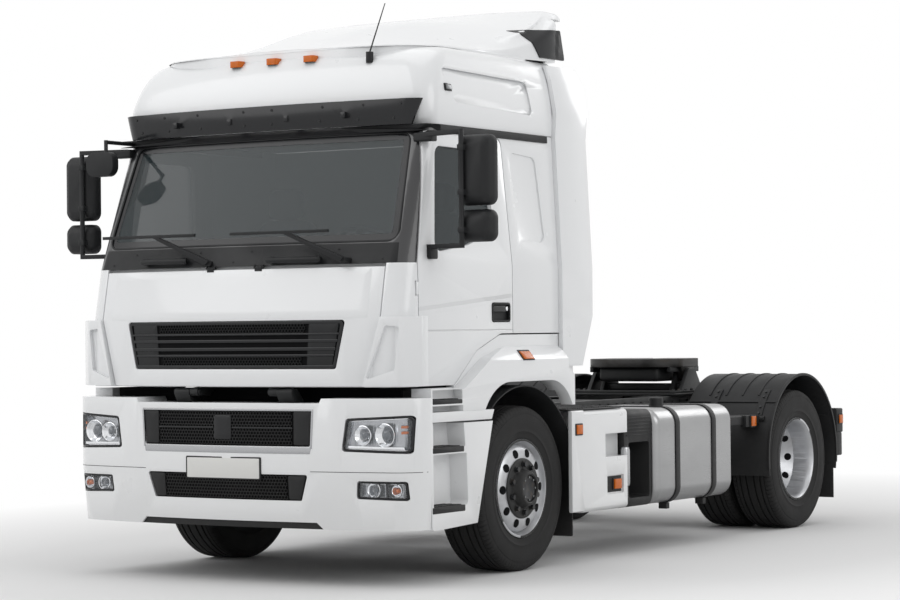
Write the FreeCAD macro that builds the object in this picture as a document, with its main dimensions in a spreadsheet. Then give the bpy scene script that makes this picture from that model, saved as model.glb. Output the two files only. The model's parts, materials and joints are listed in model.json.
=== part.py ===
import FreeCAD, Part
import math
import os
import re
import Sketcher
from FreeCAD import Vector

# Every length is in millimetres. X runs across the truck with + on its left, Y runs to the rear
# and Z up from the ground. Stations along Y are counted from the front axle while the pieces are
# drawn, and each finished piece is then set forward so that the origin lies under the middle.
SIZES = {
    # The whole vehicle
    "wheelbase": 3780,
    "front_overhang": 1430,
    "rear_overhang": 840,
    "body_half": 1235,
    "bumper_half": 1250,
    "hinge_running_gap": 0.1,
    "panel_gap": 8,
    "seat_gap": 0.3,
    # Wheels and tyres
    "wheel_radius": 500,
    "tyre_width": 315,
    "bead_radius": 292,
    "shoulder_radius": 40,
    "front_track": 2050,
    "twin_outer": 1090,
    "twin_spacing": 345,
    "rim_width": 290,
    "disc_radius": 262,
    "hand_holes": 10,
    "hand_hole_radius": 27,
    "hand_hole_circle": 205,
    "disc_thickness": 14,
    "stud_circle": 167.5,
    "stud_count": 10,
    "stud_radius": 11,
    "stud_length": 42,
    "hub_radius": 118,
    "hub_length": 75,
    "stub_radius": 45,
    # Steering
    "kingpin_x": 920,
    "kingpin_radius": 25,
    "beam_eye_height": 110,
    "beam_drop": 120,
    "beam_depth": 90,
    "beam_height": 90,
    "arm_back": 170,
    "rod_height": 372,
    "rod_radius": 18,
    "rod_pin_radius": 11,
    # Frame
    "frame_half": 430,
    "frame_top": 960,
    "rail_height": 270,
    "rail_flange": 75,
    "rail_thickness": 8,
    "rail_front": 1250,
    "rail_past_axle": 690,
    "crossmember_depth": 60,
    "axle_radius": 60,
    "axle_reach": 110,
    "spring_beam_top": 422,
    # Cab shell
    "cab_half": 1160,
    "cab_top_half": 1120,
    "cab_wall": 60,
    "recess_depth": 12,
    "cab_floor_low": 1140,
    "waist_rise": 400,
    "cowl_rise": 300,
    "cab_head": 2650,
    "cab_nose": 1360,
    "cowl_nose": 1300,
    "head_nose": 985,
    "cab_rear": 600,
    "nose_radius": 6900,
    "corner_radius": 150,
    "head_corner_radius": 95,
    "floor_thickness": 40,
    "floor_height": 1160,
    "rear_wall_thickness": 40,
    # Roof, spoiler and fairings
    "roof_foot": 2655,
    "brow_rise": 145,
    "mid_rise": 200,
    "edge_rise": 90,
    "top_rise": 40,
    "brow_nose": 1010,
    "mid_nose": 945,
    "edge_nose": 870,
    "top_nose": 740,
    "brow_half": 1125,
    "mid_half": 1090,
    "edge_half": 1055,
    "top_half": 985,
    "roof_wall": 35,
    "spoiler_front": 870,
    "spoiler_rear": 760,
    "spoiler_half": 1042,
    "spoiler_rise": 366,
    "fairing_rear": 860,
    "fairing_front": 478,
    "fairing_low": 1230,
    "fairing_high": 3100,
    "fairing_thickness": 30,
    # Front openings
    "flap_low": 1145,
    "flap_low_half": 905,
    "flap_waist_half": 1012,
    "flap_high": 1826,
    "flap_thickness": 30,
    "flap_axis_y": 1299,
    "flap_axis_z": 1836,
    "grille_low": 1244,
    "grille_high": 1525,
    "grille_low_half": 731,
    "grille_high_half": 795,
    "cowl_low": 1846,
    "cowl_high": 1962,
    "screen_low": 1967,
    "screen_high": 2612,
    "screen_low_half": 1070,
    "screen_high_half": 1010,
    "glass_thickness": 8,
    "glass_inset": 8,
    # Doors
    "door_front": 1105,
    "door_front_high": 915,
    "door_rear": 75,
    "door_rear_high": 140,
    "door_low": 1141,
    "door_high": 2606,
    "door_shoulder": 1850,
    "handle_front": -312,
    "handle_rear": -96,
    "mirror_near": 1340,
    "mirror_far": 1575,
    "mirror_front": -1000,
    "mirror_tube": 1400,
    "mirror_low": 1925,
    "mirror_high": 2600,
    "door_axis_x": 1157,
    "door_axis_y": 1120,
    "hinge_barrel": 9,
    "hinge_pin": 5,
    "hinge_length": 70,
    "hinge_low": 1330,
    "hinge_high": 1700,
    # Steering wheel
    "steer_x": 560,
    "steer_y": -670,
    "steer_z": 1925,
    "steer_radius": 225,
    # Wheel arch on the cab
    "arch_top": 1148,
    "arch_ridge": 1360,
    "arch_seam": 1437,
    "arch_crease": 1272,
    "arch_front_foot": 640,
    "arch_front_top": 400,
    "arch_rear": 545,
    "arch_foot": 990,
    # Cab tilt
    "tilt_y": 1310,
    "tilt_z": 1110,
    "tilt_pin": 15,
    "tilt_x": 350,
    "tilt_width": 60,
    # Bumper and steps
    "bumper_low": 330,
    "bumper_mid": 660,
    "bumper_high": 1077,
    "bumper_tuck": 30,
    "bumper_rear": 1112,
    "bumper_wall": 40,
    "bumper_nose_radius": 5600,
    "bumper_corner": 190,
    "step_front": 1100,
    "step_top": 924,
    "step_low": 318,
    "step_rear_low": 614,
    "step_rear_top": 434,
    "niche_depth": 120,
    "step_inner": 1072,
    "tread_low": 430,
    "tread_high": 770,
    # Front arch liners
    "liner_radius": 615,
    "liner_thickness": 8,
    "liner_inner": 560,
    "liner_outer": 1190,
    "flap_bottom": 165,
    # Side equipment
    "box_front": 640,
    "box_lip_front": 500,
    "box_rear": 1210,
    "box_low": 310,
    "box_top": 945,
    "box_inner": 520,
    "unit_front": 1240,
    "unit_rear": 1612,
    "tank_front": 1622,
    "tank_rear": 2740,
    "tank_low": 300,
    "tank_top": 930,
    "tank_inner": 470,
    "tank_corner": 110,
    "tank_end_radius": 50,
    "strap_width": 60,
    "strap_thickness": 6,
    "strap_front": 1906,
    "strap_rear": 2438,
    # Rear mudguards
    "guard_radius": 575,
    "guard_shift": 55,
    "guard_crown": 1114,
    "guard_thickness": 10,
    "guard_inner": 560,
    "guard_outer": 1262,
    "guard_low": 400,
    # Fifth wheel
    "coupling_y": 3760,
    "coupling_top": 1230,
    "coupling_thickness": 62,
    "coupling_half": 378,
    "coupling_front": 330,
    "coupling_rear": 400,
    "coupling_corner": 240,
    "kingpin_throat": 51,
    "throat_mouth": 105,
    "trunnion_z": 1108,
    "trunnion_boss": 46,
    "trunnion_x": 340,
    "trunnion_radius": 30,
}

# Levels that are stacked on one another; each becomes a formula in the same sheet.
LEVELS = {
    "cab_waist": "cab_floor_low + waist_rise",
    "cab_cowl": "cab_waist + cowl_rise",
    "roof_brow": "roof_foot + brow_rise",
    "roof_mid": "roof_brow + mid_rise",
    "roof_edge": "roof_mid + edge_rise",
    "roof_top": "roof_edge + top_rise",
}

FRONT_AXLE = "(front_overhang - wheelbase - rear_overhang) / 2"

doc = FreeCAD.newDocument("TractorUnit")
sheet = doc.addObject("Spreadsheet::Sheet", "Sizes")
rows = list(SIZES.items()) + [(alias, "=" + formula) for alias, formula in LEVELS.items()]
for row, (alias, content) in enumerate(rows, 1):
    sheet.set(f"A{row}", alias)
    sheet.set(f"B{row}", str(content))
    sheet.setAlias(f"B{row}", alias)
doc.recompute()

nodes = []


def bound(text):
    """An expression with each size named as a cell of the sheet."""
    return re.sub(r"[a-z][a-z_0-9]*", lambda found: "Sizes." + found.group(0)
                  if found.group(0) in SIZES or found.group(0) in LEVELS else found.group(0),
                  str(text))


def value(text):
    """The number that an expression of sizes has now."""
    result = sheet.evalExpression(str(text))
    return float(getattr(result, "Value", result))


def plus(*terms):
    """The sum of several expressions."""
    return " + ".join(f"({term})" for term in terms)


def minus(first, second):
    """One expression less another."""
    return f"({first}) - ({second})"


def node(item, label, lift="0", station="0"):
    """Names a finished piece and sets it in the truck's own frame."""
    item.Label = label
    if item.TypeId != "Part::Mirroring":
        item.setExpression(".Placement.Base.y", bound(plus(FRONT_AXLE, station)))
        item.setExpression(".Placement.Base.z", bound(lift))
    nodes.append(item)
    return item


def new_body(name):
    """An empty body."""
    return doc.addObject("PartDesign::Body", name)


def new_sketch(body, plane, at):
    """An empty sketch on one of the body's own planes, moved along that plane's normal."""
    sketch = body.newObject("Sketcher::SketchObject", body.Name + "Sketch")
    support = [item for item in body.Origin.OriginFeatures if item.Role == plane + "_Plane"][0]
    sketch.AttachmentSupport = [(support, "")]
    sketch.MapMode = "FlatFace"
    sketch.setExpression(".AttachmentOffset.Base.z", bound(at))
    return sketch


class Outline:
    """Collects a sketch's geometry with the constraints and expressions that hold it."""

    def __init__(self, sketch):
        self.sketch = sketch
        self.geometry = []
        self.limits = []
        self.names = {}

    def add(self, item):
        self.geometry.append(item)
        return len(self.geometry) - 1

    def hold(self, *parts):
        self.limits.append(Sketcher.Constraint(*parts))

    def size(self, expression, *parts):
        self.names[len(self.limits)] = expression
        self.limits.append(Sketcher.Constraint(*parts, value(expression)))

    def place(self, item, end, across, up):
        self.size(across, "DistanceX", -1, 1, item, end)
        self.size(up, "DistanceY", -1, 1, item, end)

    def close(self):
        self.sketch.addGeometry(self.geometry, False)
        self.sketch.addConstraint(self.limits)
        for index, expression in self.names.items():
            self.sketch.setExpression(f"Constraints[{index}]", bound(expression))
        return self.sketch


def turn_arc(corner, before, after, radius):
    """Where a rounded corner's arc starts, passes and ends."""
    back = (before - corner).normalize()
    ahead = (after - corner).normalize()
    half = back.getAngle(ahead) / 2
    reach = radius / math.tan(half)
    centre = corner + (back + ahead).normalize() * (radius / math.sin(half))
    middle = centre + (corner - centre).normalize() * radius
    return corner + back * reach, middle, corner + ahead * reach


def draw_corners(outline, corners):
    """A closed outline of straight sides; a corner is (across, up) or (across, up, radius)."""
    points = [Vector(value(corner[0]), value(corner[1]), 0) for corner in corners]
    count = len(points)
    arcs = {}
    for index, corner in enumerate(corners):
        if len(corner) > 2:
            arcs[index] = turn_arc(points[index], points[index - 1], points[(index + 1) % count],
                                   value(corner[2]))
    sides = []
    for index in range(count):
        start = arcs[index - 1 if index else count - 1][2] \
            if (index - 1) % count in arcs else points[index - 1]
        end = arcs[index][0] if index in arcs else points[index]
        sides.append(outline.add(Part.LineSegment(start, end)))
    for index, corner in enumerate(corners):
        side = sides[index]
        following = sides[(index + 1) % count]
        if index not in arcs:
            outline.hold("Coincident", side, 2, following, 1)
            outline.place(side, 2, corner[0], corner[1])
            continue
        start, middle, end = arcs[index]
        arc = outline.add(Part.Arc(start, middle, end))
        anticlockwise = (middle - start).cross(end - middle).z > 0
        outline.hold("Tangent", side, 2, arc, 1 if anticlockwise else 2)
        outline.hold("Tangent", arc, 2 if anticlockwise else 1, following, 1)
        outline.size(corner[2], "Radius", arc)
        tip = outline.add(Part.Point(points[index]))
        outline.hold("PointOnObject", tip, 1, side)
        outline.hold("PointOnObject", tip, 1, following)
        outline.place(tip, 1, corner[0], corner[1])


def draw_circle(outline, across, up, radius):
    """A circle."""
    circle = outline.add(Part.Circle(Vector(value(across), value(up), 0), Vector(0, 0, 1),
                                     value(radius)))
    outline.place(circle, 3, across, up)
    outline.size(radius, "Radius", circle)


def sketch_of(body, plane, at, *shapes):
    """A sketch of closed shapes; a shape is a list of corners, or (across, up, radius)."""
    outline = Outline(new_sketch(body, plane, at))
    for shape in shapes:
        if isinstance(shape, list):
            draw_corners(outline, shape)
        else:
            draw_circle(outline, *shape)
    return outline.close()


def pad(body, plane, low, high, *shapes):
    """Shapes filled from one station to another along the plane's axis."""
    at = minus("0", high) if plane == "XZ" else low
    feature = body.newObject("PartDesign::Pad", body.Name + "Pad")
    feature.Profile = sketch_of(body, plane, at, *shapes)
    feature.setExpression("Length", bound(minus(high, low)))
    return feature


def pocket(body, plane, low, high, *shapes):
    """Shapes cut from one station to another along the plane's axis."""
    at = minus("0", low) if plane == "XZ" else high
    feature = body.newObject("PartDesign::Pocket", body.Name + "Pocket")
    feature.Profile = sketch_of(body, plane, at, *shapes)
    feature.setExpression("Length", bound(minus(high, low)))
    return feature


def mirror_body(body, features, plane="YZ"):
    """Repeats features on the other side of the truck."""
    feature = body.newObject("PartDesign::Mirrored", body.Name + "Mirrored")
    feature.Originals = features
    support = [item for item in body.Origin.OriginFeatures if item.Role == plane + "_Plane"][0]
    feature.MirrorPlane = (support, [""])
    body.Tip = feature
    return feature


def revolve(body, corners, axis="H_Axis", plane="XY"):
    """A ring about the sketch's own axis."""
    feature = body.newObject("PartDesign::Revolution", body.Name + "Turned")
    sketch = sketch_of(body, plane, "0", corners)
    feature.Profile = sketch
    feature.ReferenceAxis = (sketch, [axis])
    feature.Angle = 360
    return feature


def box_corners(left, low, right, high, radius=None):
    """A rectangle's corners."""
    corners = [(left, low), (right, low), (right, high), (left, high)]
    if radius is None:
        return corners
    return [(across, up, radius) for across, up in corners]


def plan_section(body, height, half, front, rear, nose, corner):
    """A cab-like plan: square rear, round front corners and a bowed front."""
    outline = Outline(new_sketch(body, "XY", height))
    side_x = value(half)
    back_y = value(rear)
    front_y = value(front)
    nose_r = value(nose)
    corner_r = value(corner)
    nose_y = front_y + nose_r
    corner_y = nose_y - math.sqrt((nose_r - corner_r) ** 2 - (side_x - corner_r) ** 2)
    corner_at = Vector(side_x - corner_r, corner_y, 0)
    touch = corner_at + (corner_at - Vector(0, nose_y, 0)).normalize() * corner_r
    knee = corner_at + Vector(1, -1, 0).normalize() * corner_r

    def mirrored(point):
        return Vector(-point.x, point.y, 0)

    right = Vector(side_x, corner_y, 0)
    back = outline.add(Part.LineSegment(Vector(-side_x, back_y, 0), Vector(side_x, back_y, 0)))
    side = outline.add(Part.LineSegment(Vector(side_x, back_y, 0), right))
    bend = outline.add(Part.Arc(right, knee, touch))
    bow = outline.add(Part.Arc(touch, Vector(0, front_y, 0), mirrored(touch)))
    far_bend = outline.add(Part.Arc(mirrored(touch), mirrored(knee), mirrored(right)))
    far_side = outline.add(Part.LineSegment(mirrored(right), Vector(-side_x, back_y, 0)))
    outline.hold("Coincident", back, 2, side, 1)
    outline.hold("Coincident", back, 1, far_side, 2)
    outline.place(back, 1, minus("0", half), rear)
    outline.place(back, 2, half, rear)
    outline.hold("Vertical", side)
    outline.hold("Vertical", far_side)
    outline.hold("Tangent", side, 2, bend, 2)
    outline.hold("Tangent", bend, 1, bow, 2)
    outline.hold("Tangent", bow, 1, far_bend, 2)
    outline.hold("Tangent", far_bend, 1, far_side, 1)
    outline.size(corner, "Radius", bend)
    outline.size(corner, "Radius", far_bend)
    outline.size(nose, "Radius", bow)
    outline.size("0", "DistanceX", -1, 1, bow, 3)
    outline.size(plus(front, nose), "DistanceY", -1, 1, bow, 3)
    return outline.close()


def loft(body, kind, sections, ruled=True):
    """A solid drawn through sections, added to the body or taken from it."""
    feature = body.newObject(f"PartDesign::{kind}Loft", body.Name + "Loft")
    feature.Profile = sections[0]
    feature.Sections = sections[1:]
    feature.Ruled = ruled
    return feature


def cut(name, base, *tools):
    """One shape less others."""
    tool = tools[0]
    if len(tools) > 1:
        tool = doc.addObject("Part::MultiFuse", name + "Tools")
        tool.Shapes = list(tools)
    result = doc.addObject("Part::Cut", name)
    result.Base = base
    result.Tool = tool
    return result


def common(name, base, tool):
    """What two shapes share."""
    result = doc.addObject("Part::Common", name)
    result.Base = base
    result.Tool = tool
    return result


def fuse(name, *items):
    """Several shapes as one."""
    result = doc.addObject("Part::MultiFuse", name)
    result.Shapes = list(items)
    return result


def group(name, *items):
    """Several separate shapes that share a piece."""
    result = doc.addObject("Part::Compound", name)
    result.Links = list(items)
    return result


def mirrored_copy(name, source):
    """The same piece on the truck's right side."""
    result = doc.addObject("Part::Mirroring", name)
    result.Source = source
    result.Normal = (1, 0, 0)
    return result


def round_ends(body, feature, radius, *stations):
    """Rounds the edges of a padded form that lie at the given stations."""
    doc.recompute()
    places = [value(station) for station in stations]
    names = [f"Edge{index}" for index, edge in enumerate(feature.Shape.Edges, 1)
             if any(max(abs(edge.BoundBox.YMin - place), abs(edge.BoundBox.YMax - place)) < 0.01
                    for place in places)]
    rounded = body.newObject("PartDesign::Fillet", body.Name + "Rounded")
    rounded.Base = (feature, names)
    rounded.setExpression("Radius", bound(radius))
    return rounded


def region(name, plane, low, high, *shapes):
    """A plain block used to cut panels out of a shell."""
    body = new_body(name)
    pad(body, plane, low, high, *shapes)
    return body


# Chassis


def ladder_frame():
    """Two channel rails with crossmembers, cab pivots at the front and posts under its rear."""
    body = new_body("Frame")
    low = "frame_top - rail_height"
    web = "frame_half - rail_thickness"
    lip = "frame_half - rail_flange"
    rear = "wheelbase + rail_past_axle"
    rail = pad(body, "XZ", "-rail_front", rear,
               [("frame_half", low), ("frame_half", "frame_top"), (lip, "frame_top"),
                (lip, "frame_top - rail_thickness"), (web, "frame_top - rail_thickness"),
                (web, plus(low, "rail_thickness")), (lip, plus(low, "rail_thickness")), (lip, low)])
    bracket = pad(body, "YZ", "tilt_x - tilt_width / 2", "frame_half",
                  [("-rail_front", "frame_top - 120"), ("-rail_front", "frame_top"),
                   ("-tilt_y - 26", "tilt_z - 10"), ("-tilt_y - 26", "tilt_z + 20", 18),
                   ("-tilt_y + 30", "tilt_z + 20", 18), ("-rail_front + 130", "frame_top"),
                   ("-rail_front + 130", "frame_top - 120")])
    pin = pad(body, "YZ", "tilt_x - tilt_width / 2 - 70", "tilt_x",
              ("-tilt_y", "tilt_z", "tilt_pin"))
    post = pad(body, "XY", plus("frame_top", "-20"), "floor_height - 12",
               box_corners("frame_half - 70", "470", "frame_half", "560", "12"))
    mirror_body(body, [rail, bracket, pin, post])
    for station in ("-rail_front", "1180", "2060", "wheelbase - 640", "wheelbase + 420",
                    minus(rear, "crossmember_depth")):
        low_z = plus(low, "rail_thickness")
        high_z = "frame_top - rail_thickness - 20"
        back = plus(station, "crossmember_depth")
        pad(body, "YZ", minus("0", web), web,
            [(station, low_z), (back, low_z), (back, plus(low_z, "rail_thickness")),
             (plus(station, "rail_thickness"), plus(low_z, "rail_thickness")),
             (plus(station, "rail_thickness"), minus(high_z, "rail_thickness")),
             (back, minus(high_z, "rail_thickness")), (back, high_z), (station, high_z)])
    return node(body, "ladder_frame")


def front_axle_beam():
    """A dropped I beam with an eye at each end for the kingpins."""
    body = new_body("Beam")
    eye_low = "wheel_radius - beam_eye_height / 2"
    eye_high = "wheel_radius + beam_eye_height / 2"
    drop_high = "wheel_radius - beam_drop + beam_height / 2"
    drop_low = "wheel_radius - beam_drop - beam_height / 2"
    end = "kingpin_x"
    pad(body, "XZ", "-beam_depth / 2", "beam_depth / 2",
        [(minus("0", end), eye_low), ("-kingpin_x + 90", eye_low, 30), ("-560", drop_low, 60),
         ("560", drop_low, 60), ("kingpin_x - 90", eye_low, 30), (end, eye_low), (end, eye_high),
         ("kingpin_x - 100", eye_high, 30), ("540", drop_high, 60), ("-540", drop_high, 60),
         ("-kingpin_x + 100", eye_high, 30), (minus("0", end), eye_high)])
    web = box_corners("-520", plus(drop_low, "18"), "520", minus(drop_high, "18"), "10")
    pocket(body, "XZ", "beam_depth / 2 - 32", "beam_depth / 2", web)
    pocket(body, "XZ", "-beam_depth / 2", "32 - beam_depth / 2", web)
    eye = "kingpin_radius + 18"
    pad(body, "XY", eye_low, eye_high, (end, "0", eye), (minus("0", end), "0", eye))
    hole = "kingpin_radius + hinge_running_gap / 3"
    pocket(body, "XY", eye_low, eye_high, ("kingpin_x", "0", hole), ("-kingpin_x", "0", hole))
    return node(body, "front_axle_beam")


def springs():
    """A leaf pack with its hangers at each front corner and two bellows at each rear one."""
    body = new_body("Springs")
    seat = "wheel_radius - beam_drop + beam_height / 2"
    eye = plus(seat, "95")
    leaf_low = "frame_half - 78"
    leaf_high = "frame_half - 2"
    main = pad(body, "YZ", leaf_low, leaf_high,
               [("-820", eye), ("-400", plus(seat, "30"), 500), ("400", plus(seat, "30"), 500),
                ("820", eye), ("820", plus(eye, "26")), ("300", plus(seat, "62"), 500),
                ("-300", plus(seat, "62"), 500), ("-820", plus(eye, "26"))])
    helper = pad(body, "YZ", leaf_low, leaf_high,
                 [("-420", plus(seat, "24")), ("-200", seat, 60), ("200", seat, 60),
                  ("420", plus(seat, "24")), ("380", plus(seat, "46")),
                  ("-380", plus(seat, "46"))])
    hangers = [pad(body, "YZ", leaf_low, leaf_high,
                   [(minus(centre, "34"), plus(eye, "-18"), 20), (plus(centre, "34"),
                    plus(eye, "-18"), 20), (plus(centre, "60"), "frame_top - rail_height"),
                    (minus(centre, "60"), "frame_top - rail_height")])
               for centre in ("-815", "815")]
    bellows = []
    for station in ("wheelbase - 330", "wheelbase + 330"):
        bellows.append(pad(body, "XY", "spring_beam_top - 2", "frame_top - rail_height",
                           (plus("frame_half", "-75"), station, "110")))
    beams = pad(body, "YZ", "frame_half - 125", "frame_half - 25",
                box_corners("wheelbase - 420", "spring_beam_top - 42", "wheelbase + 420",
                            "spring_beam_top"))
    mirror_body(body, [main, helper] + hangers + bellows + [beams])
    return node(body, "suspension_springs")


def rear_axle_housing():
    """A banjo housing with its round nose facing the propeller shaft."""
    body = new_body("Banjo")
    end = "twin_outer - twin_spacing + axle_reach"
    revolve(body, [(minus("0", end), "0"), (minus("0", end), "axle_radius"),
                   ("-300", "axle_radius", 40), ("-190", "185", 120), ("190", "185", 120),
                   ("300", "axle_radius", 40), (end, "axle_radius"), (end, "0")])
    pad(body, "XZ", "-290", "0", ("0", "0", "105"))
    for x in ("75 - frame_half", "frame_half - 75"):
        pad(body, "YZ", f"{x} - 50", f"{x} + 50",
            box_corners("-70", "spring_beam_top - wheel_radius", "70", "-20"))
    return node(body, "rear_axle_housing", "wheel_radius", "wheelbase")


def driveline():
    """The gearbox behind the engine and the propeller shaft to the rear axle."""
    body = new_body("Driveline")
    pad(body, "XZ", "455", "700", box_corners("-270", "560", "270", "1060", "60"))
    pad(body, "XZ", "700", "1150", box_corners("-200", "560", "200", "900", "50"))
    pad(body, "XZ", "1150", "1210", ("0", "630", "60"))
    pad(body, "XZ", "1210", "2100", ("0", "630", "50"))
    slope = body.newObject("PartDesign::AdditiveLoft", "DrivelineSlope")
    slope.Profile = sketch_of(body, "XZ", "-2100", ("0", "630", "50"))
    slope.Sections = [sketch_of(body, "XZ", "290 - wheelbase",
                                ("0", "wheel_radius", "50"))]
    return node(body, "driveline")


def engine_and_radiator():
    """The engine as one block, and the radiator in front of it."""
    body = new_body("Engine")
    pad(body, "XZ", "-760", "455", box_corners("-340", "560", "340", "1125", "50"))
    web = "frame_half - rail_thickness"
    pad(body, "YZ", minus("0", web), web, box_corners("-320", "760", "-240", "820"))
    node(body, "engine_block")
    body = new_body("Radiator")
    half = "frame_half - rail_flange"
    pad(body, "XZ", "-rail_front + 155", "-rail_front + 265",
        box_corners(minus("0", half), "frame_top - rail_height + 30", half, "1070"))
    pocket(body, "XZ", "-rail_front + 155", "-rail_front + 169",
           box_corners(plus("50", minus("0", half)), "frame_top - rail_height + 80",
                       minus(half, "50"), "1030", "10"))
    node(body, "radiator")


def tyre_corners(middle):
    """A tyre's section, with rounded shoulders and beads."""
    left = minus(middle, "tyre_width / 2")
    right = plus(middle, "tyre_width / 2")
    return [(plus(left, "24"), "bead_radius"), (minus(right, "24"), "bead_radius"),
            (right, "wheel_radius - 105", 60), (minus(right, "4"), "wheel_radius", "shoulder_radius"),
            (plus(left, "4"), "wheel_radius", "shoulder_radius"), (left, "wheel_radius - 105", 60)]


def rim_corners(middle, disc_x, out):
    """A drop-centre rim with flanges and a flat disc, in one section; out is + or - one."""
    outer = plus(middle, f"{out} * rim_width / 2")
    inner = minus(middle, f"{out} * rim_width / 2")

    def step(place, distance):
        return plus(place, f"{out} * ({distance})")
    return [(outer, "bead_radius + 5"), (outer, "bead_radius - 8"), (step(outer, "-22"),
            "bead_radius - 16"), (step(disc_x, "disc_thickness"), "disc_radius - 14"),
            (step(disc_x, "disc_thickness"), "hub_radius - 30"), (disc_x, "hub_radius - 30"),
            (disc_x, "disc_radius - 20"), (step(inner, "30"), "bead_radius - 24"),
            (inner, "bead_radius - 8"), (inner, "bead_radius + 5"),
            (step(inner, "7"), "bead_radius + 5"), (step(inner, "7"), "bead_radius - seat_gap"),
            (step(outer, "-7"), "bead_radius - seat_gap"), (step(outer, "-7"), "bead_radius + 5")]


def ring_of_holes(body, low, high, radius, circle, count):
    """Round holes spread about the wheel's axis."""
    feature = pocket(body, "YZ", low, high, ("0", circle, radius))
    pattern = body.newObject("PartDesign::PolarPattern", body.Name + "Holes")
    pattern.Originals = [feature]
    axis = [item for item in body.Origin.OriginFeatures if item.Role == "X_Axis"][0]
    pattern.Axis = (axis, [""])
    pattern.Angle = 360
    pattern.setExpression("Occurrences", bound(count))
    body.Tip = pattern
    return pattern


def ring_of_studs(body, low, high, radius, circle, count):
    """Studs spread about the wheel's axis."""
    feature = pad(body, "YZ", low, high, ("0", circle, radius))
    pattern = body.newObject("PartDesign::PolarPattern", body.Name + "Studs")
    pattern.Originals = [feature]
    axis = [item for item in body.Origin.OriginFeatures if item.Role == "X_Axis"][0]
    pattern.Axis = (axis, [""])
    pattern.Angle = 360
    pattern.setExpression("Occurrences", bound(count))
    body.Tip = pattern
    return pattern


def front_wheel():
    """The left front tyre and its wheel, with the hub that runs on the stub axle."""
    middle = "front_track / 2"
    tyre = new_body("FrontTyre")
    revolve(tyre, tyre_corners(middle))
    tyre_node = node(tyre, "left_front_tyre", "wheel_radius")
    wheel = new_body("FrontWheel")
    disc_x = "front_track / 2 + 62"
    revolve(wheel, rim_corners(middle, disc_x, "1"))
    ring_of_holes(wheel, minus(disc_x, "60"), plus(disc_x, "60"), "hand_hole_radius",
                  "hand_hole_circle", "hand_holes")
    face = plus(disc_x, "disc_thickness")
    revolve(wheel, [(minus(disc_x, "55"), "stub_radius + hinge_running_gap"),
                    (plus(face, "hub_length - 40"), "stub_radius + hinge_running_gap"),
                    (plus(face, "hub_length - 40"), "0"), (plus(face, "hub_length - 14"), "0"),
                    (plus(face, "hub_length - 14"), "hub_radius - 42"), (plus(face, "hub_length"),
                    "hub_radius - 36"), (plus(face, "hub_length"), "hub_radius - 24"),
                    (plus(face, "12"), "hub_radius"), (minus(disc_x, "55"), "hub_radius")])
    ring_of_studs(wheel, face, plus(face, "stud_length"), "stud_radius", "stud_circle", "stud_count")
    wheel_node = node(wheel, "left_front_wheel", "wheel_radius")
    node(mirrored_copy("FarFrontTyre", tyre_node), "right_front_tyre")
    node(mirrored_copy("FarFrontWheel", wheel_node), "right_front_wheel")


def knuckle():
    """The left steering knuckle with its kingpin, stub axle and steering arm."""
    body = new_body("Knuckle")
    gap = "hinge_running_gap"
    eye_low = "-beam_eye_height / 2"
    eye_high = "beam_eye_height / 2"
    near = "kingpin_x - kingpin_radius - 18"
    far = "kingpin_x + kingpin_radius + 23"
    pad(body, "XZ", "-46", "46",
        [(near, plus(eye_high, gap), 8), (far, plus(eye_high, gap)), (far, minus(eye_low, gap)),
         (near, minus(eye_low, gap), 8), (near, minus(eye_low, "34"), 8), (plus(far, "26"),
         minus(eye_low, "34"), 20), (plus(far, "26"), plus(eye_high, "34"), 20),
         (near, plus(eye_high, "34"), 8)])
    pad(body, "XY", minus(eye_low, "30"), plus(eye_high, "30"),
        ("kingpin_x", "0", "kingpin_radius"))
    pad(body, "YZ", plus(far, "10"), "front_track / 2 + 62 + disc_thickness + hub_length - 45",
        ("0", "0", "stub_radius"))
    rod = "rod_height - wheel_radius"
    pad(body, "XY", plus(rod, "rod_radius + 6"), plus(rod, "rod_radius + 30"),
        [("kingpin_x - 30", "0"), ("kingpin_x + 30", "0"),
         ("kingpin_x + 22", "arm_back + 22", 20), ("kingpin_x - 22", "arm_back + 22", 20)])
    pad(body, "XY", minus(rod, "rod_radius + 4"), plus(rod, "rod_radius + 8"),
        ("kingpin_x", "arm_back", "rod_pin_radius"))
    near_node = node(body, "left_knuckle", "wheel_radius")
    node(mirrored_copy("FarKnuckle", near_node), "right_knuckle")


def track_rod():
    """The rod that joins both steering arms, with an eye on each arm's pin."""
    body = new_body("TrackRod")
    pin_x = "kingpin_x"
    pad(body, "YZ", minus("0", pin_x), pin_x, ("arm_back", "rod_height", "rod_radius"))
    pad(body, "XY", minus("rod_height", "rod_radius - 2"), plus("rod_height", "rod_radius + 3"),
        (pin_x, "arm_back", "rod_pin_radius + 16"),
        (minus("0", pin_x), "arm_back", "rod_pin_radius + 16"))
    pocket(body, "XY", minus("rod_height", "rod_radius + 2"), plus("rod_height", "rod_radius + 5"),
           (pin_x, "arm_back", "rod_pin_radius + hinge_running_gap"),
           (minus("0", pin_x), "arm_back", "rod_pin_radius + hinge_running_gap"))
    return node(body, "track_rod")


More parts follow.
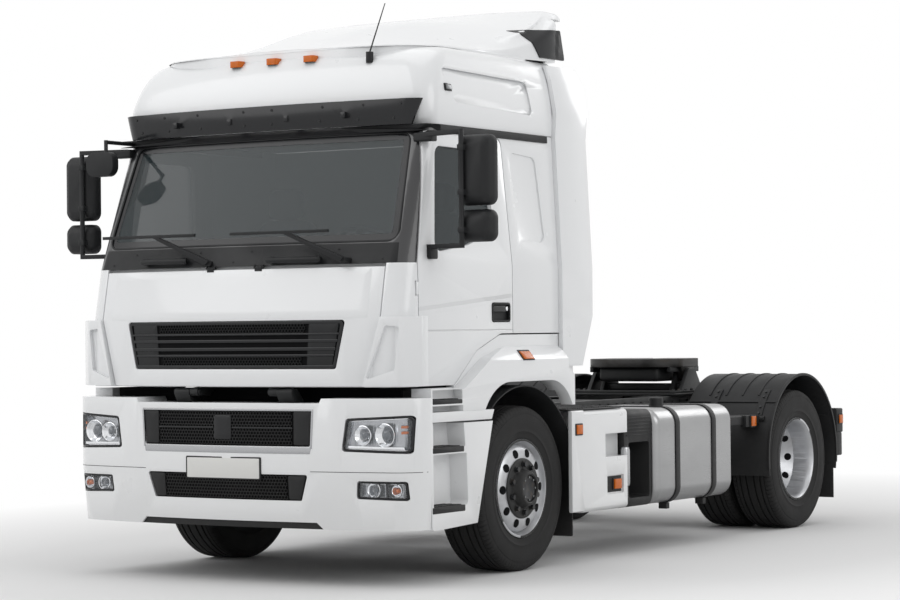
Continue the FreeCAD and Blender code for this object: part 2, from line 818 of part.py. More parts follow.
def rear_wheels():
    """The left twin tyres on their wheels, with one hub between them."""
    outer = "twin_outer"
    inner = "twin_outer - twin_spacing"
    tyres = new_body("RearTyres")
    revolve(tyres, tyre_corners(outer))
    second = new_body("RearInnerTyre")
    revolve(second, tyre_corners(inner))
    tyres_node = node(group("RearTyrePair", tyres, second), "left_rear_tyres", "wheel_radius",
                      "wheelbase")
    wheel = new_body("RearWheel")
    disc = "twin_outer - twin_spacing / 2 - disc_thickness"
    revolve(wheel, rim_corners(outer, plus(disc, "2 * disc_thickness"), "-1"))
    ring_of_holes(wheel, minus(disc, "60"), plus(disc, "60"), "hand_hole_radius",
                  "hand_hole_circle", "hand_holes")
    axle_end = "twin_outer - twin_spacing + axle_reach + 1"
    bore = "axle_radius + hinge_running_gap"
    revolve(wheel, [(minus(disc, "140"), bore), (axle_end, bore), (axle_end, "0"),
                    (plus(disc, "130"), "0"), (plus(disc, "130"), "70", 12),
                    (plus(disc, "40"), "hub_radius - 20", 12), (plus(disc, "14"), "hub_radius"),
                    (minus(disc, "140"), "hub_radius")])
    ring_of_studs(wheel, disc, plus(disc, "stud_length", "disc_thickness"), "stud_radius",
                  "stud_circle", "stud_count")
    second_wheel = new_body("RearInnerWheel")
    revolve(second_wheel, rim_corners(inner, minus(disc, "disc_thickness"), "1"))
    wheel_node = node(fuse("RearWheelPair", wheel, second_wheel), "left_rear_wheels",
                      "wheel_radius", "wheelbase")
    node(mirrored_copy("FarRearTyres", tyres_node), "right_rear_tyres")
    node(mirrored_copy("FarRearWheels", wheel_node), "right_rear_wheels")


# Cab


def cab_levels(body, inset, rear, low, high):
    """The cab's plan at each level, drawn in by an even distance all round."""
    half = minus("cab_half", inset)
    levels = [(low, half, plus("-cab_nose", inset), "corner_radius"),
              ("cab_waist", half, plus("-cab_nose", inset), "corner_radius"),
              ("cab_cowl", half, plus("-cowl_nose", inset), "corner_radius"),
              (high, minus("cab_top_half", inset), plus("-head_nose", inset),
               "head_corner_radius")]
    return [plan_section(body, height, wide, front, rear, minus("nose_radius", inset),
                         minus(corner, inset))
            for height, wide, front, corner in levels]


def cab_solid(name, inset):
    """The lower cab as one solid, drawn in by an even distance."""
    body = new_body(name)
    loft(body, "Additive", cab_levels(body, inset, "cab_rear", "cab_floor_low", "cab_head"))
    return body


def cab_shell(name, outside, inside):
    """The lower cab's wall between two distances from its skin, open at the rear."""
    body = new_body(name)
    loft(body, "Additive", cab_levels(body, outside, "cab_rear", "cab_floor_low", "cab_head"))
    loft(body, "Subtractive", cab_levels(body, inside, "cab_rear + 50", "cab_floor_low",
                                         "cab_head"))
    return body


def trapezoid(low, high, low_half, high_half, grow="0", radius=None):
    """A symmetrical four-sided outline, grown or shrunk all round."""
    corners = [(minus("0", plus(low_half, grow)), minus(low, grow)),
               (plus(low_half, grow), minus(low, grow)),
               (plus(high_half, grow), plus(high, grow)),
               (minus("0", plus(high_half, grow)), plus(high, grow))]
    if radius is None:
        return corners
    return [(across, up, radius) for across, up in corners]


def flap_outline(grow, high=None):
    """The front flap's outline, wider above the corner deflectors."""
    low = minus("flap_low", grow)
    high = high or plus("flap_high", grow)
    return [(minus("0", plus("flap_low_half", grow)), low),
            (plus("flap_low_half", grow), low),
            (plus("flap_waist_half", grow), "cab_waist"), (plus("flap_waist_half", grow), high),
            (minus("0", plus("flap_waist_half", grow)), high),
            (minus("0", plus("flap_waist_half", grow)), "cab_waist")]


def door_outline(grow):
    """The door seen from the side, grown all round by a gap."""
    return [(minus("-door_front", grow), minus("door_low", grow)),
            ("-arch_front_foot - 100", minus("door_low", grow)),
            ("-480", minus("arch_seam - 95", grow), 120),
            ("-215", minus("arch_seam", grow), 150),
            (plus("-door_rear", grow), minus("arch_seam", grow)),
            (plus("-door_rear", grow), "door_shoulder"),
            (plus("-door_rear_high", grow), plus("door_high", grow), 60),
            (minus("-door_front_high", grow), plus("door_high", grow), 60),
            (minus("-door_front", grow), "door_shoulder")]


WINDOW = [("-930", "1905", 60), ("-560", "1958", 60), ("-262", "2040", 60), ("-312", "2522", 40),
          ("-870", "2528", 60)]


def arch_outline(drop):
    """The line over the wheel arch where the cab side and the arch panel meet."""
    return [("-arch_front_foot - 100 + panel_gap", "cab_floor_low - 60"),
            ("-arch_front_foot - 100 + panel_gap", minus("door_low", drop)),
            ("-480", minus("arch_seam - 95", drop), 120),
            ("-215", minus("arch_seam", drop), 150),
            ("cab_rear + 60", minus("arch_seam", drop)),
            ("cab_rear + 60", "cab_floor_low - 60")]


def cab_front_and_sides():
    """The cab frame, flap, cowl, screen and doors, all parted from the same shell."""
    reach = ("-cab_nose - 100", "-700")
    shell = cab_shell("Shell", "0", "cab_wall")
    flap_skin = cab_shell("FlapSkin", "0", "flap_thickness")
    flap_room = cab_shell("FlapRoom", "-20", "flap_thickness + panel_gap")
    glass_skin = cab_shell("GlassSkin", "glass_inset", "glass_inset + glass_thickness")
    front_room = common("FlapRecess", flap_room,
                        region("FlapHole", "XZ", *reach,
                               flap_outline("panel_gap", "cowl_low")))
    screen = trapezoid("screen_low", "screen_high", "screen_low_half", "screen_high_half",
                       radius="70")
    screen_hole = region("ScreenHole", "XZ", *reach, screen)
    cowl = trapezoid("cowl_low", "cowl_high", "screen_low_half + 12", "screen_low_half")
    cowl_hole = region("CowlHole", "XZ", "-cab_nose - 100", "-1120", cowl)
    door_hole = region("DoorHole", "YZ", "cab_half - cab_wall - 120", "cab_half + 90",
                       door_outline("0"))
    door_room = region("DoorRoom", "YZ", "-cab_half - 90", "cab_half + 90",
                       door_outline("panel_gap"))
    keep_middle = region("CabMiddle", "YZ", "-cab_half + cab_wall + 120",
                         "cab_half - cab_wall - 120",
                         box_corners("-cab_nose - 200", "900", "cab_rear + 200", "2900"))
    door_cuts = cut("DoorCuts", door_room, keep_middle)
    arch_cut = region("ArchCut", "YZ", "-cab_half - 90", "cab_half + 90", arch_outline("0"))
    barrel = hinge_parts("HingeRoom", "hinge_barrel + 6", "hinge_length / 2 + 8")
    far_barrel = mirrored_copy("FarHingeRoom", barrel)
    recess = common("QuarterRecess", cab_shell("RecessSkin", "-5", "recess_depth"),
                    region("QuarterRegion", "YZ", "-cab_half - 90", "cab_half + 90",
                           [("23", "1995", 50), ("334", "1990", 50), ("260", "2510", 50),
                            ("-49", "2531", 50)]))
    bare = cut("CabFrameBare", shell, front_room, screen_hole, cowl_hole, door_cuts, arch_cut,
               barrel, far_barrel, recess)
    pins = hinge_parts("HingePins", "hinge_pin", "hinge_length / 2 + 12")
    far_pins = mirrored_copy("FarHingePins", pins)
    node(fuse("CabFrame", bare, pins, far_pins), "cab_frame")
    node(common("Windscreen", glass_skin, screen_hole), "windscreen")
    cowl_part = common("CowlPart", shell, cowl_hole)
    node(cowl_with_pins(cowl_part), "wiper_cowl")
    doors(shell, door_hole)
    front_flap(flap_skin, reach)


def hinge_parts(name, radius, half_length):
    """Upright cylinders on the door's hinge line."""
    body = new_body(name)
    for height in ("hinge_low", "hinge_high"):
        pad(body, "XY", minus(height, half_length), plus(height, half_length),
            ("door_axis_x", "-door_axis_y", radius))
    return body


def doors(shell, door_hole):
    """The left door with its window and hinge barrels, its glass, and both on the right."""
    leaf = common("DoorPanel", shell, door_hole)
    window = region("DoorWindow", "YZ", "cab_half - 200", "cab_half + 90", WINDOW)
    barrels = hinge_parts("DoorBarrels", "hinge_barrel", "hinge_length / 2")
    for height in ("hinge_low", "hinge_high"):
        pad(barrels, "XY", f"{height} - hinge_length / 2", f"{height} + hinge_length / 2",
            box_corners("door_axis_x - hinge_barrel", "-door_axis_y", "cab_half - 1",
                        "-door_front + 5"))
    handle = region("HandleRecess", "YZ", "cab_half - 22", "cab_half + 90",
                    box_corners("handle_front", "1503", "handle_rear", "1622", "18"))
    solid = fuse("DoorWithBarrels", cut("DoorLeaf", leaf, window, handle), barrels)
    bores = hinge_parts("DoorBores", "hinge_pin + hinge_running_gap", "hinge_length")
    door = node(cut("LeftDoor", solid, bores), "left_door")
    glass = common("DoorGlass", cab_shell("DoorGlassSkin", "26", "32"), window)
    glass_node = node(glass, "left_door_glass")
    mirror_node = node(mirrors(), "left_mirrors")
    node(mirrored_copy("FarDoor", door), "right_door")
    node(mirrored_copy("FarDoorGlass", glass_node), "right_door_glass")
    node(mirrored_copy("FarMirrors", mirror_node), "right_mirrors")


def mirror_housing(body, low, high):
    """One mirror's housing, drawn in towards the front and flat behind its glass."""
    sections = [(plus("mirror_front", "0"), "50", "25"), (plus("mirror_front", "22"), "14", "45"),
                (plus("mirror_front", "50"), "0", "50"), (plus("mirror_front", "92"), "0", "50")]
    loft(body, "Additive",
         [sketch_of(body, "XZ", minus("0", station),
                    box_corners(plus("mirror_near", inset), plus(low, inset),
                                minus("mirror_far", inset), minus(high, inset), radius))
          for station, inset, radius in sections])


def mirrors():
    """Two mirror housings clamped to a bent tube that stands off the door's front edge."""
    body = new_body("Mirrors")
    tube = "mirror_front - 18"
    mirror_housing(body, "2167", "2570")
    mirror_housing(body, "1960", "2143")
    pad(body, "XY", "mirror_low", "mirror_high", ("mirror_tube", tube, "15"))
    for height in ("2012", "2225", "2480"):
        pad(body, "XY", height, f"{height} + 32",
            box_corners("mirror_tube - 21", plus(tube, "-17"), "mirror_tube + 21",
                        "mirror_front + 40", 8))
    ends = (("mirror_high", "1080", "-966", "-918"), ("mirror_low + 26", "1120", "-1006", "-944"))
    for top, near, front, rear in ends:
        pad(body, "XY", minus(top, "26"), top,
            [(near, front), ("mirror_tube + 6", plus(tube, "-16"), 12),
             ("mirror_tube + 6", plus(tube, "17"), 12), (near, rear)])
    pad(body, "YZ", "1090", "cab_half + 26", box_corners("-1011", "1868", "-939", "1930", 12))
    pad(body, "YZ", "1050", "cab_half + 10", box_corners("-976", "2546", "-912", "2598", 12))
    return cut("MirrorSet", body, cab_solid("MirrorCore", "0"))


def cowl_with_pins(cowl_part):
    """The black panel under the screen, with the pins that the front flap hangs on."""
    body = new_body("FlapPins")
    for side in ("1", "-1"):
        pad(body, "YZ", f"{side} * 175 - 34", f"{side} * 175 + 34",
            ("-flap_axis_y", "flap_axis_z", "4"))
        for end in ("-34", "26"):
            pad(body, "YZ", f"{side} * 175 + {end}", f"{side} * 175 + {end} + 8",
                [("-flap_axis_y - 5", "flap_axis_z - 5"), ("-flap_axis_y + 9", "flap_axis_z - 5"),
                 ("-flap_axis_y + 9", "cowl_low + 6"), ("-flap_axis_y - 5", "cowl_low + 6")])
    return fuse("WiperCowl", cowl_part, body)


def front_flap(flap_skin, reach):
    """The lid under the screen, with the upper grille set into it."""
    panel = common("FlapPanel", flap_skin, region("FlapRegion", "XZ", *reach, flap_outline("0")))
    hole = region("GrilleHole", "XZ", *reach,
                  trapezoid("grille_low", "grille_high", "grille_low_half", "grille_high_half",
                            radius="18"))
    barrels = new_body("FlapBarrels")
    for side in ("1", "-1"):
        pad(barrels, "YZ", f"{side} * 175 - 25", f"{side} * 175 + 25",
            [("-flap_axis_y - 7", "flap_high - 12"), ("-flap_axis_y + 7", "flap_high - 12"),
             ("-flap_axis_y + 7", "flap_axis_z + 7", "6.5"),
             ("-flap_axis_y - 7", "flap_axis_z + 7", "6.5")])
    bore = region("FlapBore", "YZ", "-300", "300",
                  ("-flap_axis_y", "flap_axis_z", "4 + hinge_running_gap"))
    solid = fuse("FlapSolid", cut("FlapCut", panel, hole), barrels)
    node(cut("FrontFlap", solid, bore), "front_flap")
    grille_skin = cab_shell("GrilleSkin", "12", "28")
    grille = new_body("GrilleSlots")
    pitch = "(grille_high - grille_low - 30) / 6"
    for row in range(6):
        low = plus("grille_low + 15 + 5", f"{row} * {pitch}")
        pad(grille, "XZ", *reach, box_corners("-690", low, "690", plus(low, pitch, "-14"), "8"))
    node(cut("UpperGrille", common("GrilleSheet", grille_skin, hole), grille), "upper_grille")


def cab_floor():
    """The cab's floor with the two ears that turn on the tilt pins."""
    body = new_body("Floor")
    inner = "cab_half - cab_wall"
    pad(body, "XY", "floor_height", "floor_height + floor_thickness",
        [(minus("0", inner), "-1120"), ("-930", "-1222"), ("930", "-1222"), (inner, "-1120"),
         (inner, "cab_rear"), (minus("0", inner), "cab_rear")])
    ear = pad(body, "YZ", "tilt_x - tilt_width / 2 - 62", "tilt_x - tilt_width / 2 - 2",
              [("-tilt_y - 24", "tilt_z - 24", 22), ("-1200", "tilt_z - 24", 40),
               ("-1120", "floor_height"), ("-1200", "floor_height + floor_thickness"),
               ("-1215", "floor_height + floor_thickness"), ("-1240", "tilt_z + 30", 10),
               ("-tilt_y - 24", "tilt_z + 24", 22)])
    hole = pocket(body, "YZ", "tilt_x - tilt_width / 2 - 64", "tilt_x - tilt_width / 2",
                  ("-tilt_y", "tilt_z", "tilt_pin + hinge_running_gap"))
    mirror_body(body, [ear, hole])
    return node(body, "cab_floor")


def cab_rear_wall():
    """The cab's flat rear wall between its sides."""
    body = new_body("RearWall")
    pad(body, "XZ", "cab_rear - rear_wall_thickness", "cab_rear",
        [(minus("0", "cab_half - cab_wall"), "floor_height + floor_thickness"),
         ("cab_half - cab_wall", "floor_height + floor_thickness"),
         ("cab_half - cab_wall", "cab_cowl"), ("cab_top_half - cab_wall - 1", "cab_head"),
         (minus("0", "cab_top_half - cab_wall - 1"), "cab_head"),
         (minus("0", "cab_half - cab_wall"), "cab_cowl")])
    return node(body, "cab_rear_wall")


ROOF = [("cab_top_half", "head_nose", "head_corner_radius"), ("brow_half", "brow_nose", "120"),
        ("mid_half", "mid_nose", "170"), ("edge_half", "edge_nose", "200"),
        ("top_half", "top_nose", "210")]


def roof_loft(body, kind, grow, heights, rear):
    """The roof's smooth form through its levels, drawn out by an even distance."""
    return loft(body, kind,
                [plan_section(body, height, plus(half, grow), minus("0", plus(nose, grow)), rear,
                              plus("nose_radius", grow), plus(corner, grow))
                 for height, (half, nose, corner) in zip(heights, ROOF)], ruled=False)


def roof_solid(name, grow="0"):
    """The roof as one solid that reaches below its foot, to trim what leans on it."""
    body = new_body(name)
    rear = plus("cab_rear", grow)
    roof_loft(body, "Additive", grow,
              ("roof_foot", "roof_brow", "roof_mid", "roof_edge", "roof_top"), rear)
    half, nose, corner = ROOF[0]
    loft(body, "Additive",
         [plan_section(body, height, plus(half, grow), minus("0", plus(nose, grow)), rear,
                       plus("nose_radius", grow), plus(corner, grow))
          for height in ("roof_foot - 200", "roof_foot")])
    return body


def high_roof():
    """The raised roof, hollow and open below, with a shallow recess in each side."""
    body = new_body("Roof")
    roof_loft(body, "Additive", "0",
              ("roof_foot", "roof_brow", "roof_mid", "roof_edge", "roof_top"), "cab_rear")
    roof_loft(body, "Subtractive", "-roof_wall",
              ("roof_foot - 1", "roof_brow", "roof_mid - 10", "roof_edge - roof_wall",
               "roof_top - roof_wall"), "cab_rear - roof_wall")
    side = region("RoofRecessSide", "YZ", "-cab_half - 90", "cab_half + 90",
                  [("-632", "2793", 30), ("241", "2767", 40), ("209", "2973", 40),
                   ("-770", "2992", 30)])
    recess = cut("RoofRecess", side, roof_solid("RoofRecessFloor", "-recess_depth"))
    return node(cut("HighRoof", body, recess), "high_roof")


def spoiler_section(body, station, half, *corners):
    """One station of the spoiler: flat foot, low sides and a crown; corners are on one side."""
    return sketch_of(body, "XZ", minus("0", station),
                     [(minus("0", half), "roof_top + seat_gap"), (half, "roof_top + seat_gap")]
                     + [(x, plus("roof_top", rise), radius) for x, rise, radius in corners]
                     + [(minus("0", x), plus("roof_top", rise), radius)
                        for x, rise, radius in corners[::-1]])


def roof_spoiler():
    """The air deflector, a narrow hump at the roof's front that widens and climbs to the rear."""
    body = new_body("Spoiler")
    loft(body, "Additive",
         [spoiler_section(body, "-spoiler_front", "420", ("408", "6", 3), ("300", "9", 150),
                          ("150", "17", 200)),
          spoiler_section(body, "-684", "960", ("948", "10", 5), ("560", "17", 400),
                          ("200", "75", 400)),
          spoiler_section(body, "-300", "1002", ("990", "20", 8), ("700", "28", 300),
                          ("260", "188", 300)),
          spoiler_section(body, "217", "spoiler_half - 42", ("spoiler_half - 56", "58", 20),
                          ("900", "114", 200), ("420", "272", 400)),
          spoiler_section(body, "spoiler_rear", "spoiler_half",
                          ("spoiler_half - 14", "spoiler_rise - 51", 60),
                          ("900", "spoiler_rise - 16", 200), ("500", "spoiler_rise", 400))],
         ruled=False)
    crest = "roof_top + spoiler_rise"
    pocket(body, "YZ", "-1200", "1200",
           [("cab_rear + 40", "roof_top - 10"), ("spoiler_rear + 10", "roof_top - 10"),
            ("spoiler_rear + 10", minus(crest, "95")), ("spoiler_rear - 60", minus(crest, "80"))])
    return node(body, "roof_spoiler")


def fairing_section(body, height, inner, rear, flare):
    """One level of a side fairing: a slim panel that turns out to the rear."""
    out = plus(inner, "fairing_thickness")
    return sketch_of(body, "XY", height,
                     [(inner, "fairing_front"), (out, "fairing_front"), (plus(out, flare), rear),
                      (plus(inner, flare), rear)])


def side_fairings(roof):
    """Tall panels that carry the cab's sides back towards the trailer."""
    body = new_body("Fairings")
    skin = "cab_half + seat_gap"
    panel = loft(body, "Additive",
                 [fairing_section(body, "fairing_low", skin, "fairing_rear - 190", "30"),
                  fairing_section(body, "cab_waist", skin, "fairing_rear - 20", "10"),
                  fairing_section(body, "cab_cowl", skin, "fairing_rear", "0"),
                  fairing_section(body, "cab_head", "cab_top_half + seat_gap", "fairing_rear",
                                  "0"),
                  fairing_section(body, "roof_brow", "brow_half + seat_gap + 6", "fairing_rear",
                                  "0"),
                  fairing_section(body, "roof_mid", "mid_half + seat_gap + 6", "fairing_rear",
                                  "0"),
                  fairing_section(body, "fairing_high", "edge_half + seat_gap + 6",
                                  "fairing_rear - 40", "0")])
    mirror_body(body, [panel])
    return node(cut("SideFairings", body, roof), "side_fairings")


def cab_arches():
    """The panels over the front wheels, with a flared lip and the upper entry step."""
    body = new_body("Arches")
    gap = "panel_gap"
    flare = pad(body, "YZ", "cab_half - 10", "body_half",
                [("-step_front", "arch_foot"), ("-step_front", minus("door_low", plus(gap, "6"))),
                 ("-arch_front_foot - 100", minus("door_low", plus(gap, "14")), 120),
                 ("-440", "arch_ridge - 70", 160), ("-200", "arch_ridge - 4", 300),
                 ("fairing_front - 8", "arch_ridge + 2", 60),
                 ("fairing_front - 8", "fairing_low - 8"), ("arch_rear", "fairing_low - 50"),
                 ("arch_rear", "arch_foot")])
    back = pad(body, "YZ", "cab_half - cab_wall", "cab_half - 5", arch_outline(gap))
    step = pad(body, "YZ", "cab_half - cab_wall", "cab_half - 5",
               [("-step_front", "arch_foot"), ("-step_front", minus("door_low", plus(gap, "6"))),
                ("-arch_front_foot - 90", minus("door_low", plus(gap, "6"))),
                ("-arch_front_foot - 90", "arch_foot")])
    opening = pocket(body, "YZ", "cab_half - cab_wall - 20", "body_half + 20",
                     [("-arch_front_foot - 70", "arch_top - 420"), ("-arch_front_top", "arch_top",
                      350), ("arch_rear", "arch_top", 290), ("arch_rear", "arch_top - 420")])
    below = pocket(body, "YZ", "cab_half - cab_wall - 20", "cab_half - 10",
                   box_corners("arch_rear - 60", "900", "cab_rear + 80", "floor_height"))
    slope = pocket(body, "XZ", "-step_front - 10", "fairing_front",
                   [("cab_half + 6", "arch_ridge + 4"), ("body_half + 5", "arch_crease"),
                    ("body_half + 5", "arch_ridge + 4")])
    niche = pocket(body, "YZ", "cab_half + 10", "body_half + 20",
                   box_corners("-step_front + 14", "1058", "-768", "1118", "10"))
    room = pocket(body, "YZ", "cab_half - 20", "body_half + 20",
                  box_corners("-step_front + 14", "arch_foot - 10", "-760", "1027"))
    mirror_body(body, [flare, back, step, opening, below, slope, niche, room])
    return node(body, "cab_arches")


def corner_deflectors():
    """Air deflectors that stand proud of the cab's front corners."""
    body = new_body("DeflectorPlan")
    pad(body, "XY", "flap_low", "cab_waist",
        [("905", "-1150"), ("905", "-1334"), ("1150", "-1268", 80), ("body_half + 7", "-1188", 30),
         ("body_half + 7", "-1138"), ("1120", "-1138")])
    front = region("DeflectorFront", "XZ", "-cab_nose - 100", "-1000",
                   [("flap_low_half + panel_gap + 4", "flap_low - 2"),
                    ("flap_waist_half + panel_gap + 4", "cab_waist + 2"),
                    ("body_half + 30", "cab_waist + 2"), ("body_half + 30", "flap_low - 2")])
    hollow = region("DeflectorHollow", "XZ", "-cab_nose - 100", "-1160",
                    [("930", "1180", 12), ("1105", "1237", 12), ("1134", "1482", 12),
                     ("1052", "1490", 12)])
    floor = new_body("DeflectorFloor")
    pad(floor, "XY", "flap_low - 10", "cab_waist + 10",
        [("800", "-1100"), ("800", "-1336"), ("905", "-1308"), ("1150", "-1242", 80),
         ("1300", "-1100")])
    one = cut("DeflectorOne", common("DeflectorBlock", body, front),
              cab_solid("DeflectorCore", "0"), cut("DeflectorPocket", hollow, floor))
    far = mirrored_copy("DeflectorFar", one)
    return node(group("Deflectors", one, far), "corner_deflectors")


def sun_visor():
    """The dark visor across the top of the screen."""
    body = new_body("Visor")
    outer = [plan_section(body, "cab_head", "cab_top_half - 22", "-head_nose - 75", "-800",
                          "nose_radius", "150"),
             plan_section(body, "roof_brow", "brow_half + 4", "-brow_nose - 55", "-800",
                          "nose_radius", "150")]
    loft(body, "Additive", outer)
    inner = [plan_section(body, "cab_head", "cab_top_half - 30", "-head_nose - 63", "-750",
                          "nose_radius", "142"),
             plan_section(body, "roof_brow", "brow_half - 4", "-brow_nose - 43", "-750",
                          "nose_radius", "142")]
    loft(body, "Subtractive", inner)
    face = region("VisorFace", "XZ", "-1200", "-920",
                  trapezoid("cab_head - 5", "roof_brow + 5", "1030", "1092"))
    return common("VisorFront", body, face)


def visor_node(roof):
    """The visor clear of the roof it hangs from, held by brackets."""
    shade = cut("VisorShade", sun_visor(), roof)
    brackets = new_body("VisorBrackets")
    for x in ("-620", "-210", "210", "620"):
        pad(brackets, "YZ", f"{x} - 15", f"{x} + 15",
            box_corners("-brow_nose - 60", "2700", "-brow_nose + 60", "2735"))
    trimmed = cut("VisorArms", brackets, roof)
    node(fuse("SunVisor", shade, trimmed), "sun_visor")


def cab_inside():
    """Dashboard, steering wheel, seats and bunk."""
    body = new_body("Dash")
    pad(body, "YZ", "-1080", "1080",
        [("-1130", "1700"), ("-1150", "1900", 30), ("-760", "1860", 60), ("-730", "1720", 60),
         ("-850", "1560", 40), ("-1020", "1500")])
    for x in ("-900", "900"):
        pad(body, "YZ", f"{x} - 20", f"{x} + 20",
            [("-1060", "floor_height + floor_thickness"), ("-1000",
             "floor_height + floor_thickness"), ("-900", "1560"), ("-1060", "1560")])
    tilt = FreeCAD.Rotation(Vector(1, 0, 0), -38)
    wheel_at = Vector(value("steer_x"), value("steer_y"), value("steer_z"))
    stub = doc.addObject("Part::Cylinder", "ColumnStub")
    stub.Radius = 32
    stub.Height = 150
    stub.Placement = FreeCAD.Placement(wheel_at + tilt.multVec(Vector(0, 0, -262)), tilt)
    socket = doc.addObject("Part::Cylinder", "ColumnSocket")
    socket.setExpression("Radius", bound("12 + hinge_running_gap"))
    socket.Height = 70
    socket.Placement = FreeCAD.Placement(wheel_at + tilt.multVec(Vector(0, 0, -175)), tilt)
    trimmed = common("DashTrimmed", body, cab_solid("DashRoom", "cab_wall + 6"))
    node(cut("Dashboard", fuse("DashWithColumn", trimmed, stub), socket), "dashboard")
    ring = doc.addObject("Part::Torus", "SteeringRing")
    ring.setExpression("Radius1", bound("steer_radius"))
    ring.Radius2 = 15
    column = doc.addObject("Part::Cylinder", "SteeringColumn")
    column.Radius = 32
    column.Height = 120
    column.Placement.Base = Vector(0, 0, -110)
    spokes = []
    for index, turn in enumerate((0, 90)):
        spoke = doc.addObject("Part::Box", f"SteeringSpoke{index}")
        spoke.setExpression("Length", bound("2 * steer_radius - 10"))
        spoke.Width = 34
        spoke.Height = 12
        start = 5 - value("steer_radius")
        spoke.Placement.Base = Vector(start, -17, -6) if not turn else Vector(17, start, -6)
        spoke.Placement.Rotation = FreeCAD.Rotation(Vector(0, 0, 1), turn)
        spokes.append(spoke)
    spindle = doc.addObject("Part::Cylinder", "SteeringSpindle")
    spindle.Radius = 12
    spindle.Height = 120
    spindle.Placement.Base = Vector(0, 0, -170)
    wheel = fuse("SteeringParts", ring, column, spindle, *spokes)
    wheel.Placement = FreeCAD.Placement(wheel_at, tilt)
    node(group("SteeringWheel", wheel), "steering_wheel")
    body = new_body("Seats")
    floor = "floor_height + floor_thickness"
    base = pad(body, "YZ", "330", "810",
               [("-480", plus(floor, "seat_gap")), ("-60", plus(floor, "seat_gap")),
                ("-60", "1500"), ("60", "2160", 30), ("-40", "2190", 30), ("-150", "1640", 40),
                ("-520", "1660", 40), ("-520", "1500", 30)])
    head = pad(body, "YZ", "440", "700",
               box_corners("-40", "2170", "50", "2370", "30"))
    mirror_body(body, [base, head])
    node(body, "seats")
    body = new_body("Bunk")
    pad(body, "YZ", "-1080", "1080",
        [("150", "floor_height + floor_thickness"), ("cab_rear - 45", "floor_height + floor_thickness"),
         ("cab_rear - 45", "1680", 30), ("150", "1680", 40)])
    node(body, "bunk")


def wipers():
    """Two wiper arms with their blades, parked along the foot of the screen."""
    body = new_body("Wipers")
    for shift in ("-185", "780"):
        tip = plus(shift, "-390")
        pad(body, "XZ", "-1330", "-1302",
            [(plus(shift, "16"), "1880", 8), (plus(tip, "-5"), "2040", 4),
             (plus(tip, "-10"), "2024", 4), (minus(shift, "18"), "1856", 8)])
        pad(body, "XZ", "-1330", "-1316",
            box_corners(plus(tip, "-400"), "2026", plus(tip, "300"), "2044"))
        pad(body, "XZ", "-1310", "-1236", (shift, "1866", "16"))
    return body


def wiper_node():
    """The wipers trimmed where their pivots meet the cowl."""
    node(cut("WiperSet", wipers(), cab_solid("WiperCore", "0")), "wipers")


def roof_fittings(roof):
    """Amber roof lamps, an aerial and the kerb mirror above the screen's right corner."""
    lamps = new_body("RoofLamps")
    for x in ("-272", "0", "272"):
        pad(lamps, "XY", "roof_edge - 30", "roof_edge + 8",
            box_corners(f"{x} - 38", "-925", f"{x} + 38", "-860", "14"))
    trimmed = cut("RoofLampsTrimmed", lamps, roof)
    aerial = new_body("Aerial")
    pad(aerial, "XY", "roof_edge - 60", "roof_edge + 5", ("690", "-885", "22"))
    loft(aerial, "Additive", [sketch_of(aerial, "XY", "roof_edge", ("690", "-885", "5")),
                              sketch_of(aerial, "XY", "roof_edge + 297", ("735", "-785", "3"))])
    foot = cut("AerialTrimmed", aerial, roof)
    mirror = new_body("FrontMirror")
    pad(mirror, "XZ", "-1225", "-1170", box_corners("-1190", "2420", "-980", "2570", "60"))
    pad(mirror, "XY", "2560", "2643", ("-1060", "-1190", "12"))
    pad(mirror, "XZ", "-1190", "-850", ("-1060", "2631", "12"))
    arm = cut("FrontMirrorTrimmed", mirror, cab_solid("MirrorCab", "0"))
    node(group("RoofFittings", trimmed, foot, arm), "roof_fittings")


# Front end


def bumper_levels(body, inset, rear, high):
    """The bumper's plan at each level, drawn in by an even distance."""
    half = minus("bumper_half", inset)
    levels = [("bumper_low", minus(half, "20"), plus("-front_overhang + bumper_tuck", inset),
               "bumper_corner - 20"),
              ("bumper_mid", half, plus("-front_overhang", inset), "bumper_corner"),
              (high, half, plus("-front_overhang", inset), "bumper_corner")]
    return [plan_section(body, height, wide, front, rear, minus("bumper_nose_radius", inset),
                         minus(corner, inset)) for height, wide, front, corner in levels]


def bumper_block(name, outside, inside=None):
    """The bumper's outer form as a solid, or as a skin between two insets."""
    body = new_body(name)
    loft(body, "Additive", bumper_levels(body, outside, "-bumper_rear", "bumper_high"))
    if inside is not None:
        loft(body, "Subtractive", bumper_levels(body, inside, "-bumper_rear + 60",
                                                minus("bumper_high", inside)))
    return body


